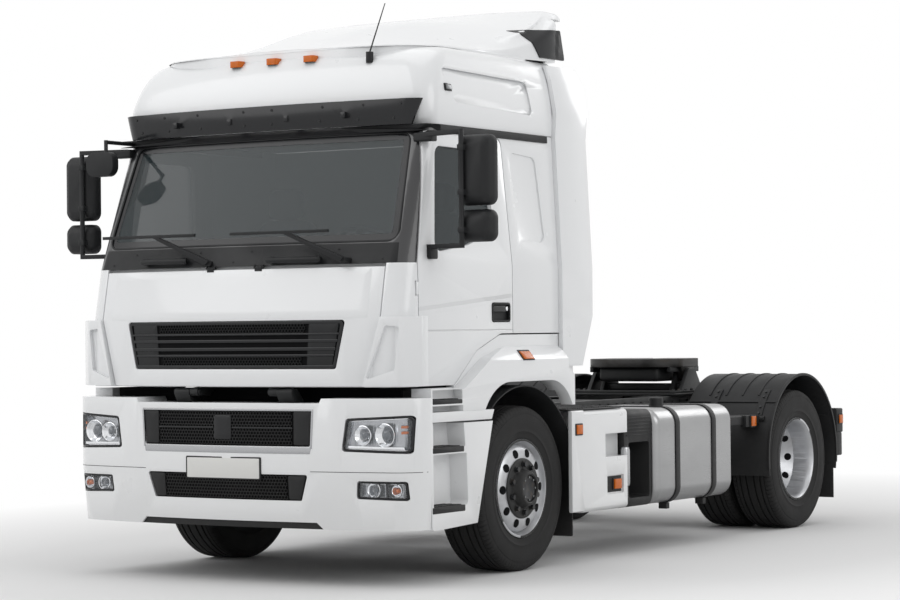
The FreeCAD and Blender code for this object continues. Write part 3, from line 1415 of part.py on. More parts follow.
def bumper_front():
    """Bumper shell, its lamps and its grilles."""
    deep = ("-front_overhang - 60", "-1150")
    shell = bumper_block("BumperShell", "0", "bumper_wall")
    lamp = [("800", "777", 20), ("1212", "765", 20), ("1222", "983", 20), ("828", "964", 20)]
    fog = [("884", "509", 15), ("1190", "500", 15), ("1186", "610", 15), ("893", "611", 15)]

    def far(corners):
        return [(minus("0", corner[0]),) + tuple(corner[1:]) for corner in corners][::-1]
    lamp_room = region("LampRoom", "XZ", *deep, lamp, far(lamp), fog, far(fog))
    mid = trapezoid("802", "1013", "600", "622", radius="12")
    low = trapezoid("491", "641", "534", "582", radius="12")
    under = trapezoid("bumper_low - 10", "368", "676", "623")
    grille_room = region("BumperGrilleRoom", "XZ", "-front_overhang - 60", "-1300", mid, low,
                         under)
    brow = region("BumperBrow", "XZ", "-front_overhang - 60", "-1000",
                  trapezoid("1050", "bumper_high + 10", "660", "680"))
    bars = new_body("BumperBars")
    one = pad(bars, "XZ", "-front_overhang + bumper_wall + 3", "-rail_front",
              box_corners("frame_half - 60", "bumper_mid + 40", "frame_half", "bumper_mid + 120"))
    mirror_body(bars, [one])
    notch = region("BumperNotch", "XY", "bumper_high - bumper_wall - 10", "bumper_high + 10",
                   box_corners("tilt_x - 50", "-tilt_y - 40", "tilt_x + 100", "-bumper_rear + 20"),
                   box_corners("-tilt_x - 100", "-tilt_y - 40", "50 - tilt_x",
                               "-bumper_rear + 20"))
    open_shell = cut("BumperCut", shell, lamp_room, grille_room, notch, brow)
    node(fuse("Bumper", open_shell, bars), "bumper")
    lamp_skin = bumper_block("LampSkin", "4", "bumper_wall + 30")
    node(common("FrontLamps", lamp_skin, lamp_room), "front_lamps")
    grille_skin = bumper_block("BumperGrilleSkin", "14", "30")
    slots = new_body("BumperSlots")
    for low_z, high_z, half, count in (("802", "1013", "575", 4), ("491", "641", "510", 3)):
        pitch = f"({high_z} - {low_z} - 24) / {count}"
        for index in range(count):
            foot = plus(low_z, "12", f"{index} * {pitch}", "6")
            pad(slots, "XZ", "-front_overhang - 60", "-1200",
                box_corners(minus("0", half), foot, half, plus(foot, pitch, "-12"), "8"))
    node(cut("BumperGrilles", common("GrilleSheets", grille_skin, grille_room), slots),
         "bumper_grilles")


def step_boxes():
    """Entry steps below the cab, with a niche over each tread."""
    body = new_body("Steps")
    box = pad(body, "YZ", "step_inner", "body_half",
              [("-step_front", "step_low", 30), ("-step_rear_low", "step_low + 19"),
               ("-step_rear_top", "step_top"), ("-step_front", "step_top")])
    upper = pocket(body, "YZ", "body_half - niche_depth", "body_half + 10",
                   [("-step_front + 16", "tread_high + 17", 10),
                    ("-740", "tread_high + 17", 10),
                    ("-758", "step_top + 10"), ("-step_front + 16", "step_top + 10")])
    lower = pocket(body, "YZ", "body_half - niche_depth", "body_half + 10",
                   [("-step_front + 16", "tread_low + 18", 10),
                    ("-715", "tread_low + 18", 30), ("-729", "tread_high - 20", 10),
                    ("-step_front + 16", "tread_high - 20", 10)])
    arm = pad(body, "YZ", "frame_half", "step_inner + 20",
              box_corners("-980", "frame_top - 120", "-920", "frame_top - 60"))
    mirror_body(body, [box, upper, lower, arm])
    return node(body, "step_boxes")


def arch_liners():
    """Inner fenders over the front wheels with a mud flap behind each."""
    body = new_body("Liners")
    outer = "liner_radius + liner_thickness"
    ring = pad(body, "YZ", "liner_inner", "liner_outer",
               ("0", "wheel_radius", outer))
    hole = pocket(body, "YZ", "liner_inner - 10", "liner_outer + 10",
                  ("0", "wheel_radius", "liner_radius"))
    below = pocket(body, "YZ", "liner_inner - 10", "liner_outer + 10",
                   [("-800", "-200"), ("800", "-200"), ("800", "wheel_radius + 40"),
                    ("0", "wheel_radius + 40"), ("-800", "wheel_radius + 850")])
    flap = pad(body, "XZ", "liner_radius - 3", plus(outer, "-1"),
               box_corners("850", "flap_bottom", "1165", "wheel_radius + 80", "10"))
    arm = pad(body, "YZ", "frame_half", "liner_inner + 30",
              box_corners("220", "frame_top - 40", "270", "frame_top + 160"))
    mirror_body(body, [ring, hole, below, flap, arm])
    return node(body, "front_arch_liners")


def side_equipment():
    """Boxes, fuel tank, silencer and air tanks hung on the frame rails."""
    body = new_body("SideBox")
    pad(body, "XZ", "box_front", "box_rear",
        box_corners("box_inner", "box_low", "body_half", "box_top", "30"))
    pad(body, "XZ", "box_lip_front", "box_front + 10",
        box_corners("body_half - 26", "box_low + 10", "body_half", "box_top + 5", "10"))
    pocket(body, "YZ", "body_half - 70", "body_half + 10",
           box_corners("box_front + 285", "646", "box_rear + 20", "793"))
    pocket(body, "YZ", "body_half - 18", "body_half + 10",
           box_corners("box_rear - 266", "410", "box_rear - 49", "528", "10"))
    pad(body, "XZ", "box_front + 60", "box_rear - 60",
        box_corners("frame_half", "frame_top - 200", "box_inner + 10", "frame_top - 80"))
    left = node(body, "left_side_box")
    node(mirrored_copy("RightBox", left), "right_side_box")
    body = new_body("ServiceUnit")
    pad(body, "XZ", "unit_front", "unit_rear",
        box_corners("box_inner", "tank_low", "body_half - 40", "tank_top", "50"))
    pocket(body, "YZ", "body_half - 260", "body_half",
           box_corners("unit_front + 60", "tank_low + 60", "unit_rear - 30", "tank_top - 210",
                       "20"))
    pad(body, "XZ", "unit_front + 60", "unit_rear - 60",
        box_corners("frame_half", "frame_top - 200", "box_inner + 10", "frame_top - 80"))
    node(body, "service_unit")
    body = new_body("FuelTank")
    drum = pad(body, "XZ", "tank_front", "tank_rear",
               box_corners("tank_inner", "tank_low", "body_half", "tank_top", "tank_corner"))
    round_ends(body, drum, "tank_end_radius", "tank_front", "tank_rear")
    pad(body, "XY", "tank_top - 4", "tank_top + 60", ("body_half - 210", "strap_front + 100", "48"))
    node(body, "fuel_tank")
    body = new_body("Straps")
    for station in ("strap_front", "strap_rear"):
        out = "strap_thickness + seat_gap"
        pad(body, "XZ", f"{station} - strap_width / 2", f"{station} + strap_width / 2",
            box_corners(minus("tank_inner", out), minus("tank_low", out), plus("body_half", out),
                        plus("tank_top", out), plus("tank_corner", out)),
            box_corners("tank_inner - seat_gap", "tank_low - seat_gap", "body_half + seat_gap",
                        "tank_top + seat_gap", "tank_corner + seat_gap"))
        pad(body, "XZ", f"{station} - strap_width / 2", f"{station} + strap_width / 2",
            box_corners("frame_half", "tank_low + 130", "tank_inner - seat_gap - 2",
                        "frame_top - 60"))
    node(body, "tank_straps")
    body = new_body("Silencer")
    pad(body, "XZ", "1300", "2150", box_corners("-1200", "330", "-560", "900", "90"))
    pad(body, "XZ", "1400", "2050", box_corners("-570", "frame_top - 200", "-frame_half",
                                                "frame_top - 80"))
    pad(body, "XY", "240", "340", ("-900", "1700", "60"))
    node(body, "silencer")
    body = new_body("AirTanks")
    for station in ("2480", "2800"):
        pad(body, "YZ", "-360", "360", (station, "frame_top - rail_height + 150", "108"))
        pad(body, "YZ", minus("0", "frame_half - rail_thickness"), "frame_half - rail_thickness",
            box_corners(f"{station} - 20", "frame_top - rail_height + 120", f"{station} + 20",
                        "frame_top - rail_height + 180"))
    node(body, "air_tanks")


def rear_mudguards():
    """Black guards over the twin wheels, with brackets to the frame."""
    body = new_body("Guards")
    outer_r = "guard_radius + guard_thickness"
    middle = "wheelbase + guard_shift"
    centre = "guard_crown - guard_radius - guard_thickness"
    rear = f"{middle} + guard_radius - 6"
    ring = pad(body, "YZ", "guard_inner", "guard_outer", (middle, centre, outer_r))
    hole = pocket(body, "YZ", "guard_inner - 10", "guard_outer + 10",
                  (middle, centre, "guard_radius"))
    below = pocket(body, "YZ", "guard_inner - 10", "guard_outer + 10",
                   box_corners(f"{middle} - 700", "-200", f"{middle} + 700", "guard_low"))
    flap = pad(body, "XZ", minus(rear, "guard_thickness"), rear,
               box_corners("guard_inner + 20", "182", "guard_outer - 20", "guard_low + 30"))
    arms = pad(body, "YZ", "frame_half", "guard_outer - 60",
               (f"{middle} - 523", "805", "18"), (f"{middle} + 523", "805", "18"))
    mirror_body(body, [ring, hole, below, flap, arms])
    return node(body, "rear_mudguards")


def tail_lamps():
    """A lamp cluster behind each mudguard on a bar across the frame's end."""
    body = new_body("TailLamps")
    end = "wheelbase + rail_past_axle"
    bar = pad(body, "XZ", end, plus(end, "45"),
              box_corners("-1120", "frame_top - 230", "1120", "frame_top - 160"))
    one = pad(body, "XZ", plus(end, "40"), "wheelbase + rear_overhang",
              box_corners("860", "660", "1225", "841", "12"))
    two = pad(body, "XZ", plus(end, "40"), "wheelbase + rear_overhang - 20",
              box_corners("1090", "488", "1225", "662", "12"))
    mirror_body(body, [one, two])
    return node(body, "tail_lamps")


def fifth_wheel():
    """The coupling plate with its kingpin throat and ramps, rocking on two trunnions."""
    plate = new_body("CouplingPlate")
    low = "coupling_top - coupling_thickness"
    slot = "kingpin_throat / 2"
    y = "coupling_y"
    pad(plate, "XY", low, "coupling_top",
        [(minus("0", "coupling_half"), f"{y} - coupling_front", "coupling_corner"),
         ("coupling_half", f"{y} - coupling_front", "coupling_corner"),
         ("coupling_half", f"{y} + 150", "60"), ("throat_mouth + 95", f"{y} + coupling_rear", 40),
         ("throat_mouth", f"{y} + coupling_rear", 30), (slot, f"{y} + 150", 60),
         (slot, y), (minus("0", slot), y),
         (minus("0", slot), f"{y} + 150", 60),
         (minus("0", "throat_mouth"), f"{y} + coupling_rear", 30),
         (minus("0", "throat_mouth + 95"), f"{y} + coupling_rear", 40),
         (minus("0", "coupling_half"), f"{y} + 150", "60")])
    pocket(plate, "XY", low, "coupling_top", ("0", y, slot))
    pocket(plate, "YZ", "-coupling_half - 10", "coupling_half + 10",
           [(f"{y} + 250", "coupling_top + 1"), (f"{y} + coupling_rear + 5", "coupling_top + 1"),
            (f"{y} + coupling_rear + 5", "coupling_top - 48")])
    ears = pad(plate, "YZ", "trunnion_x - 25", "trunnion_x + 25",
               [(f"{y} - 110", plus(low, "2")), (f"{y} + 110", plus(low, "2")),
                (f"{y} + 52", "trunnion_z - trunnion_boss", 40),
                (f"{y} - 52", "trunnion_z - trunnion_boss", 40)])
    holes = pocket(plate, "YZ", "trunnion_x - 30", "trunnion_x + 30",
                   (y, "trunnion_z", "trunnion_radius + hinge_running_gap"))
    mirror_body(plate, [ears, holes])
    node(plate, "fifth_wheel_plate")
    mount = new_body("CouplingMount")
    pad(mount, "XY", "frame_top", "frame_top + 14",
        box_corners("-frame_half - 20", f"{y} - 330", "frame_half + 20", f"{y} + 330", "20"))
    base = pad(mount, "YZ", "trunnion_x + 31", "trunnion_x + 61",
               [(f"{y} - 190", "frame_top + 10"), (f"{y} + 190", "frame_top + 10"),
                (f"{y} + trunnion_boss + 4", "trunnion_z + trunnion_boss", 40),
                (f"{y} - trunnion_boss - 4", "trunnion_z + trunnion_boss", 40)])
    inner = pad(mount, "YZ", "trunnion_x - 61", "trunnion_x - 31",
                [(f"{y} - 150", "frame_top + 10"), (f"{y} + 150", "frame_top + 10"),
                 (f"{y} + trunnion_boss + 4", "trunnion_z + trunnion_boss", 40),
                 (f"{y} - trunnion_boss - 4", "trunnion_z + trunnion_boss", 40)])
    pin = pad(mount, "YZ", "trunnion_x - 40", "trunnion_x + 40",
              (y, "trunnion_z", "trunnion_radius"))
    mirror_body(mount, [base, inner, pin])
    node(mount, "fifth_wheel_mount")


ladder_frame()
front_axle_beam()
springs()
rear_axle_housing()
driveline()
engine_and_radiator()
front_wheel()
knuckle()
track_rod()
rear_wheels()
cab_front_and_sides()
cab_floor()
cab_rear_wall()
high_roof()
roof_spoiler()
side_fairings(roof_solid("RoofAndGap", "seat_gap"))
cab_arches()
corner_deflectors()
roof_form = roof_solid("RoofForm")
visor_node(roof_form)
cab_inside()
wiper_node()
roof_fittings(roof_form)
bumper_front()
step_boxes()
arch_liners()
side_equipment()
rear_mudguards()
tail_lamps()
fifth_wheel()

doc.recompute()

faults = [f"{item.Label} ({item.Name}): {item.State}" for item in doc.Objects
          if "Invalid" in item.State or "Error" in item.State]
for item in nodes:
    shape = item.Shape
    if shape.isNull() or not shape.isValid() or not shape.Solids:
        faults.append(f"{item.Label}: no valid solid")
if faults:
    raise RuntimeError("\n".join(faults))

os.makedirs("parts", exist_ok=True)
for item in nodes:
    item.Shape.exportStep(f"parts/{item.Label}.step")
print(len(nodes), "pieces written")
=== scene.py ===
import bmesh
import bpy
import json
import math
from bpy.props import FloatProperty, FloatVectorProperty, IntProperty, PointerProperty
from mathutils import Matrix, Vector
from mathutils.bvhtree import BVHTree

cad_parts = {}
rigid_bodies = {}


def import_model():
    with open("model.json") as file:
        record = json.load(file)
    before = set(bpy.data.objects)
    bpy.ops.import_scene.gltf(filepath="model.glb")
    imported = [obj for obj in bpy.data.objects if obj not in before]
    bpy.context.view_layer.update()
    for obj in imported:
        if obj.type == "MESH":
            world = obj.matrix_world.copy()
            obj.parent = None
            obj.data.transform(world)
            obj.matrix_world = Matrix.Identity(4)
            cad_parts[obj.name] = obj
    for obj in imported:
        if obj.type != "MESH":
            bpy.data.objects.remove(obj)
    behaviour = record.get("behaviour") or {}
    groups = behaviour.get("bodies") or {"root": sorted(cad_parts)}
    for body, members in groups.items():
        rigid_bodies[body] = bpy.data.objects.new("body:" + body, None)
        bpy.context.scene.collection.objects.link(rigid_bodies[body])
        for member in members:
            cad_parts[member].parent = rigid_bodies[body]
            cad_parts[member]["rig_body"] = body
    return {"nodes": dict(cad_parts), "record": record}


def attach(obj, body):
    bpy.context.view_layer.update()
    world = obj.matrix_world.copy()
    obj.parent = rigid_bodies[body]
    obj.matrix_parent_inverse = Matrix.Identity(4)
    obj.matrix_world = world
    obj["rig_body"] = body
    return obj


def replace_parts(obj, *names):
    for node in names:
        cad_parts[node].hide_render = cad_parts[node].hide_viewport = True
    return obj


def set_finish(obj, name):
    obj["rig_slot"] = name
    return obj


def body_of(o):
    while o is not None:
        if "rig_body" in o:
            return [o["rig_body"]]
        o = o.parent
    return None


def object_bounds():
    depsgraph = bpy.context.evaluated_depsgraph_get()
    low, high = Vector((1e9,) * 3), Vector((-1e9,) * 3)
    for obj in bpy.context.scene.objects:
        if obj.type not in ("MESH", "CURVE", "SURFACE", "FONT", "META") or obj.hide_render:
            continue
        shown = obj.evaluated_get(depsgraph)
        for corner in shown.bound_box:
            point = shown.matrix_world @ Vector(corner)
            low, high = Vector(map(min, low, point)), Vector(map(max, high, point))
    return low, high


bl_info = {
    "name": "Tractor Unit Dresser",
    "version": (1, 0, 0),
    "blender": (4, 5, 0),
    "location": "View3D > Sidebar > Tractor",
    "description": "Dresses a packed model of a cab-over tractor unit with finishes and detail",
    "category": "Object",
}

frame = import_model()
CAD_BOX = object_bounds()

# Sizes in metres. A station is a distance behind the front axle.
AXLE = -1.595
REAR_AXLE = AXLE + 3.78
WHEEL_Z = 0.5
STEER_X = 1.025
TWIN_X = (0.745, 1.09)
BOX_FACE = 1.235
STEP_FACE = 1.2375
SEAT_X = 0.57
GUARD_Y, GUARD_Z = AXLE + 3.835, 0.529
FLUSH = -0.0009
SIDES = ((1, "left"), (-1, "right"))
NUTS = 10

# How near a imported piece's points are joined, in metres, and in degrees how flat its faces
# are merged and from where its edges shade sharp.
JOIN_WITHIN, FLAT_WITHIN, SHARP_FROM = 2e-5, 0.6, 32.0


def plan_depth(x, half, front, nose, corner):
    """How far back a bowed front with round corners lies at a distance from the middle."""
    across = min(abs(x), half - 0.001)
    middle = front + nose
    flat = half - corner
    if across <= flat * nose / (nose - corner):
        return middle - math.sqrt(nose * nose - across * across)
    corner_y = middle - math.sqrt((nose - corner) ** 2 - flat * flat)
    return corner_y - math.sqrt(max(corner * corner - (across - flat) ** 2, 0.0))


def bumper_skin(x, z, inset=0.0):
    """The bumper's face at a place seen from the front, drawn in by an inset."""
    # It narrows and draws back below its seam.
    drop = max(0.66 - z, 0.0) / 0.33
    return AXLE + plan_depth(x, 1.25 - 0.02 * drop - inset, -1.43 + 0.03 * drop + inset,
                             5.6 - inset, 0.19 - 0.02 * drop - inset)


def cab_skin(x, z, inset=0.0):
    """The cab's face at a place seen from the front, drawn in by an inset."""
    # It is upright up to 1.54, leans to the screen's foot and leans more from there.
    if z <= 1.84:
        share = min(max((z - 1.54) / 0.3, 0.0), 1.0)
        half, front, corner = 1.16, -1.36 + 0.06 * share, 0.15
    else:
        share = (z - 1.84) / 0.81
        half, front, corner = 1.16 - 0.04 * share, -1.30 + 0.315 * share, 0.15 - 0.055 * share
    return AXLE + plan_depth(x, half - inset, front + inset, 6.9 - inset, corner - inset)


# Values and finishes


class Value:
    """A number that varies over a surface; arithmetic on it adds Math nodes."""

    def __init__(self, tree, socket):
        self.tree = tree
        self.socket = socket

    def math(self, operation, *others, first=None):
        node = self.tree.nodes.new("ShaderNodeMath")
        node.operation = operation
        terms = [self if first is None else first] + list(others)
        for slot, term in zip(node.inputs, terms):
            if isinstance(term, Value):
                self.tree.links.new(term.socket, slot)
            else:
                slot.default_value = term
        return Value(self.tree, node.outputs[0])

    def __add__(self, other):
        return self.math("ADD", other)

    def __mul__(self, other):
        return self.math("MULTIPLY", other)

    def __sub__(self, other):
        return self.math("SUBTRACT", other)

    def __rsub__(self, other):
        return self.math("SUBTRACT", self, first=other)

    def __truediv__(self, other):
        return self.math("DIVIDE", other)

    def __pow__(self, other):
        return self.math("POWER", other)

    def sine(self):
        return self.math("SINE")

    def size(self):
        return self.math("ABSOLUTE")

    def above(self, limit):
        return self.math("GREATER_THAN", limit)

    def least(self, other):
        return self.math("MINIMUM", other)

    def most(self, other):
        return self.math("MAXIMUM", other)

    def within(self, low, high):
        """Rises from nought at low to one at high and stays there."""
        return ((self - low) / (high - low)).most(0.0).least(1.0)


class Finish:
    """A material in the making, with short ways to add nodes to it."""

    def __init__(self, name, colour, roughness, metallic=0.0, **sockets):
        self.material = bpy.data.materials.new(name)
        self.material.use_nodes = True
        self.tree = self.material.node_tree
        self.tree.nodes.clear()
        self.shader = self.node("ShaderNodeBsdfPrincipled")
        self.output = self.node("ShaderNodeOutputMaterial")
        self.tree.links.new(self.shader.outputs[0], self.output.inputs["Surface"])
        self.colour = tuple(colour) + (1.0,)
        self.shader.inputs["Base Color"].default_value = self.colour
        self.shader.inputs["Roughness"].default_value = roughness
        self.shader.inputs["Metallic"].default_value = metallic
        for key, value in sockets.items():
            self.shader.inputs[key.replace("_", " ")].default_value = value
        self.material.diffuse_color = self.colour
        self.height = None
        self.place = None

    def node(self, kind, settings=None, **inputs):
        """Adds a node: its settings first, then the values or links of its sockets."""
        made = self.tree.nodes.new(kind)
        for key, value in (settings or {}).items():
            setattr(made, key, value)
        for key, value in inputs.items():
            self.feed(made.inputs[key.replace("_", " ")], value)
        return made

    def feed(self, socket, value):
        if isinstance(value, Value):
            self.tree.links.new(value.socket, socket)
        elif isinstance(value, bpy.types.NodeSocket):
            self.tree.links.new(value, socket)
        else:
            socket.default_value = value

    def where(self):
        """The place on the object, in metres."""
        if self.place is None:
            self.place = self.node("ShaderNodeTexCoord").outputs["Object"]
        return self.place

    def along(self, axis):
        """The place along one axis."""
        parts = self.node("ShaderNodeSeparateXYZ", Vector=self.where())
        return Value(self.tree, parts.outputs["XYZ".index(axis)])

    def noise(self, scale, detail, stretch=None):
        """Cloudy noise from nought to one, stretched by a scale along each axis."""
        place = self.where()
        if stretch is not None:
            place = self.node("ShaderNodeMapping", Vector=place, Scale=stretch).outputs[0]
        made = self.node("ShaderNodeTexNoise", Vector=place, Scale=scale, Detail=detail)
        return Value(self.tree, made.outputs["Fac"])

    def tint(self, other, amount):
        """Mixes another colour in, as far as amount says at each place."""
        mix = self.node("ShaderNodeMix", {"data_type": "RGBA"})
        self.feed(mix.inputs[0], amount)
        base = self.shader.inputs["Base Color"]
        if base.is_linked:
            self.tree.links.new(base.links[0].from_socket, mix.inputs[6])
        else:
            mix.inputs[6].default_value = base.default_value
        mix.inputs[7].default_value = tuple(other) + (1.0,)
        self.tree.links.new(mix.outputs[2], base)

    def rough(self, value):
        self.feed(self.shader.inputs["Roughness"], value)

    def bump(self, height, distance, strength):
        """Raises the surface by height times distance, on top of earlier bumps."""
        made = self.node("ShaderNodeBump", Height=height, Distance=distance, Strength=strength)
        if self.height is not None:
            self.tree.links.new(self.height, made.inputs["Normal"])
        self.height = made.outputs[0]
        self.tree.links.new(self.height, self.shader.inputs["Normal"])

    # The steps that the recipes name

    def cloudy(self, scale, detail, share, least):
        """Lets the roughness drift from place to place."""
        self.rough(self.noise(scale, detail) * share + least)

    def uneven(self, scale, detail, distance, strength):
        """Raises the surface by fine noise."""
        self.bump(self.noise(scale, detail), distance, strength)

    def grained(self, scale, distance, strength):
        """Raises the surface by scattered pimples, as on moulded plastic."""
        made = self.node("ShaderNodeTexVoronoi", Vector=self.where(), Scale=scale)
        self.bump(Value(self.tree, made.outputs["Distance"]), distance, strength)

    def stained(self, other, scale, detail, power, share):
        """Mixes a colour in where noise peaks."""
        self.tint(other, self.noise(scale, detail) ** power * share)

    def patched(self, other, scale, detail, low, high, share):
        """Mixes a colour in as patches with soft edges."""
        self.tint(other, self.noise(scale, detail).within(low, high) * share)

    def dusty(self, other, low, high, share):
        """A film of dust that thickens towards the ground."""
        depth = 1.0 - self.along("Z").within(low, high)
        patches = self.noise(3.0, 5.0) * 0.6 + self.noise(40.0, 4.0) * 0.5
        self.tint(other, (depth * patches * share).least(1.0))

    def scratched(self, stretch, detail, distance, strength, share, least, cloud=0.0):
        """Long fine scratches that raise and roughen the surface, with clouds of wear."""
        lines = self.noise(1.0, detail, stretch)
        self.bump(lines, distance, strength)
        value = lines * share
        if cloud:
            value = value + self.noise(4.0, 3.0) * cloud
        self.rough(value + least)

    def ribbed(self, axis, turns, distance, strength, other=None):
        """Moulded ribs across an axis; where a colour is given, it is mixed in along the ribs as
        painted shade.
        """
        ribs = (self.along(axis) * turns).sine() * 0.5 + 0.5
        self.bump(ribs, distance, strength)
        # The darker colour is painted shade along the ribs.
        if other:
            self.tint(other, ribs * 0.5)

    def clouded_along(self, other, scale, detail, stretch):
        """Mixes a colour in by stretched noise."""
        self.tint(other, self.noise(scale, detail, stretch) ** 3.0)

    def woven(self, other):
        """A fine weave with stripes of another colour."""
        self.bump((self.along("X") * 2200.0).sine() * (self.along("Z") * 2200.0).sine(),
                  0.0006, 0.6)
        stripe = ((self.along("X") * 62.0).sine() - 0.55).above(0.0)
        self.tint(other, stripe * 0.5 + self.noise(90.0, 4.0) * 0.2)

    def creased(self):
        """The door's pressed crease and the seam below it."""
        up = self.along("Z")
        station = self.along("Y") - AXLE
        crease = (up - (station * 0.0815 + 1.671)).within(-0.012, 0.012)
        seam = 1.0 - (up - 1.457).size().within(0.0, 0.006)
        self.bump(crease - seam * 0.6, 0.010, 0.9)

    def masked(self):
        """The black surround of the screen and the black band under the visor."""
        up = self.along("Z")
        station = self.along("Y") - AXLE
        pillar = (up - 1.85).most(0.0) * 0.2513 - 1.101
        front = (pillar - station).above(0.0) * (up - 1.846).above(0.0)
        black = front.most((up - 2.612).above(0.0) * (0.409 - station).above(0.0))
        self.tint((0.016, 0.016, 0.018), black)
        self.rough(self.noise(6.0, 4.0) * 0.08 + 0.22 + black * 0.12)

    def blended(self):
        self.material.blend_method = "BLEND"


PAINT = {"Coat_Weight": 0.6, "Coat_Roughness": 0.06}
PAINT_DRIFT = ("cloudy", 6.0, 4.0, 0.08, 0.25)
PAINT_GRAIN = ("uneven", 900.0, 2.0, 0.00012, 0.35)
PAINT_DUST = ("dusty", (0.62, 0.60, 0.56), 0.25, 1.3, 0.22)

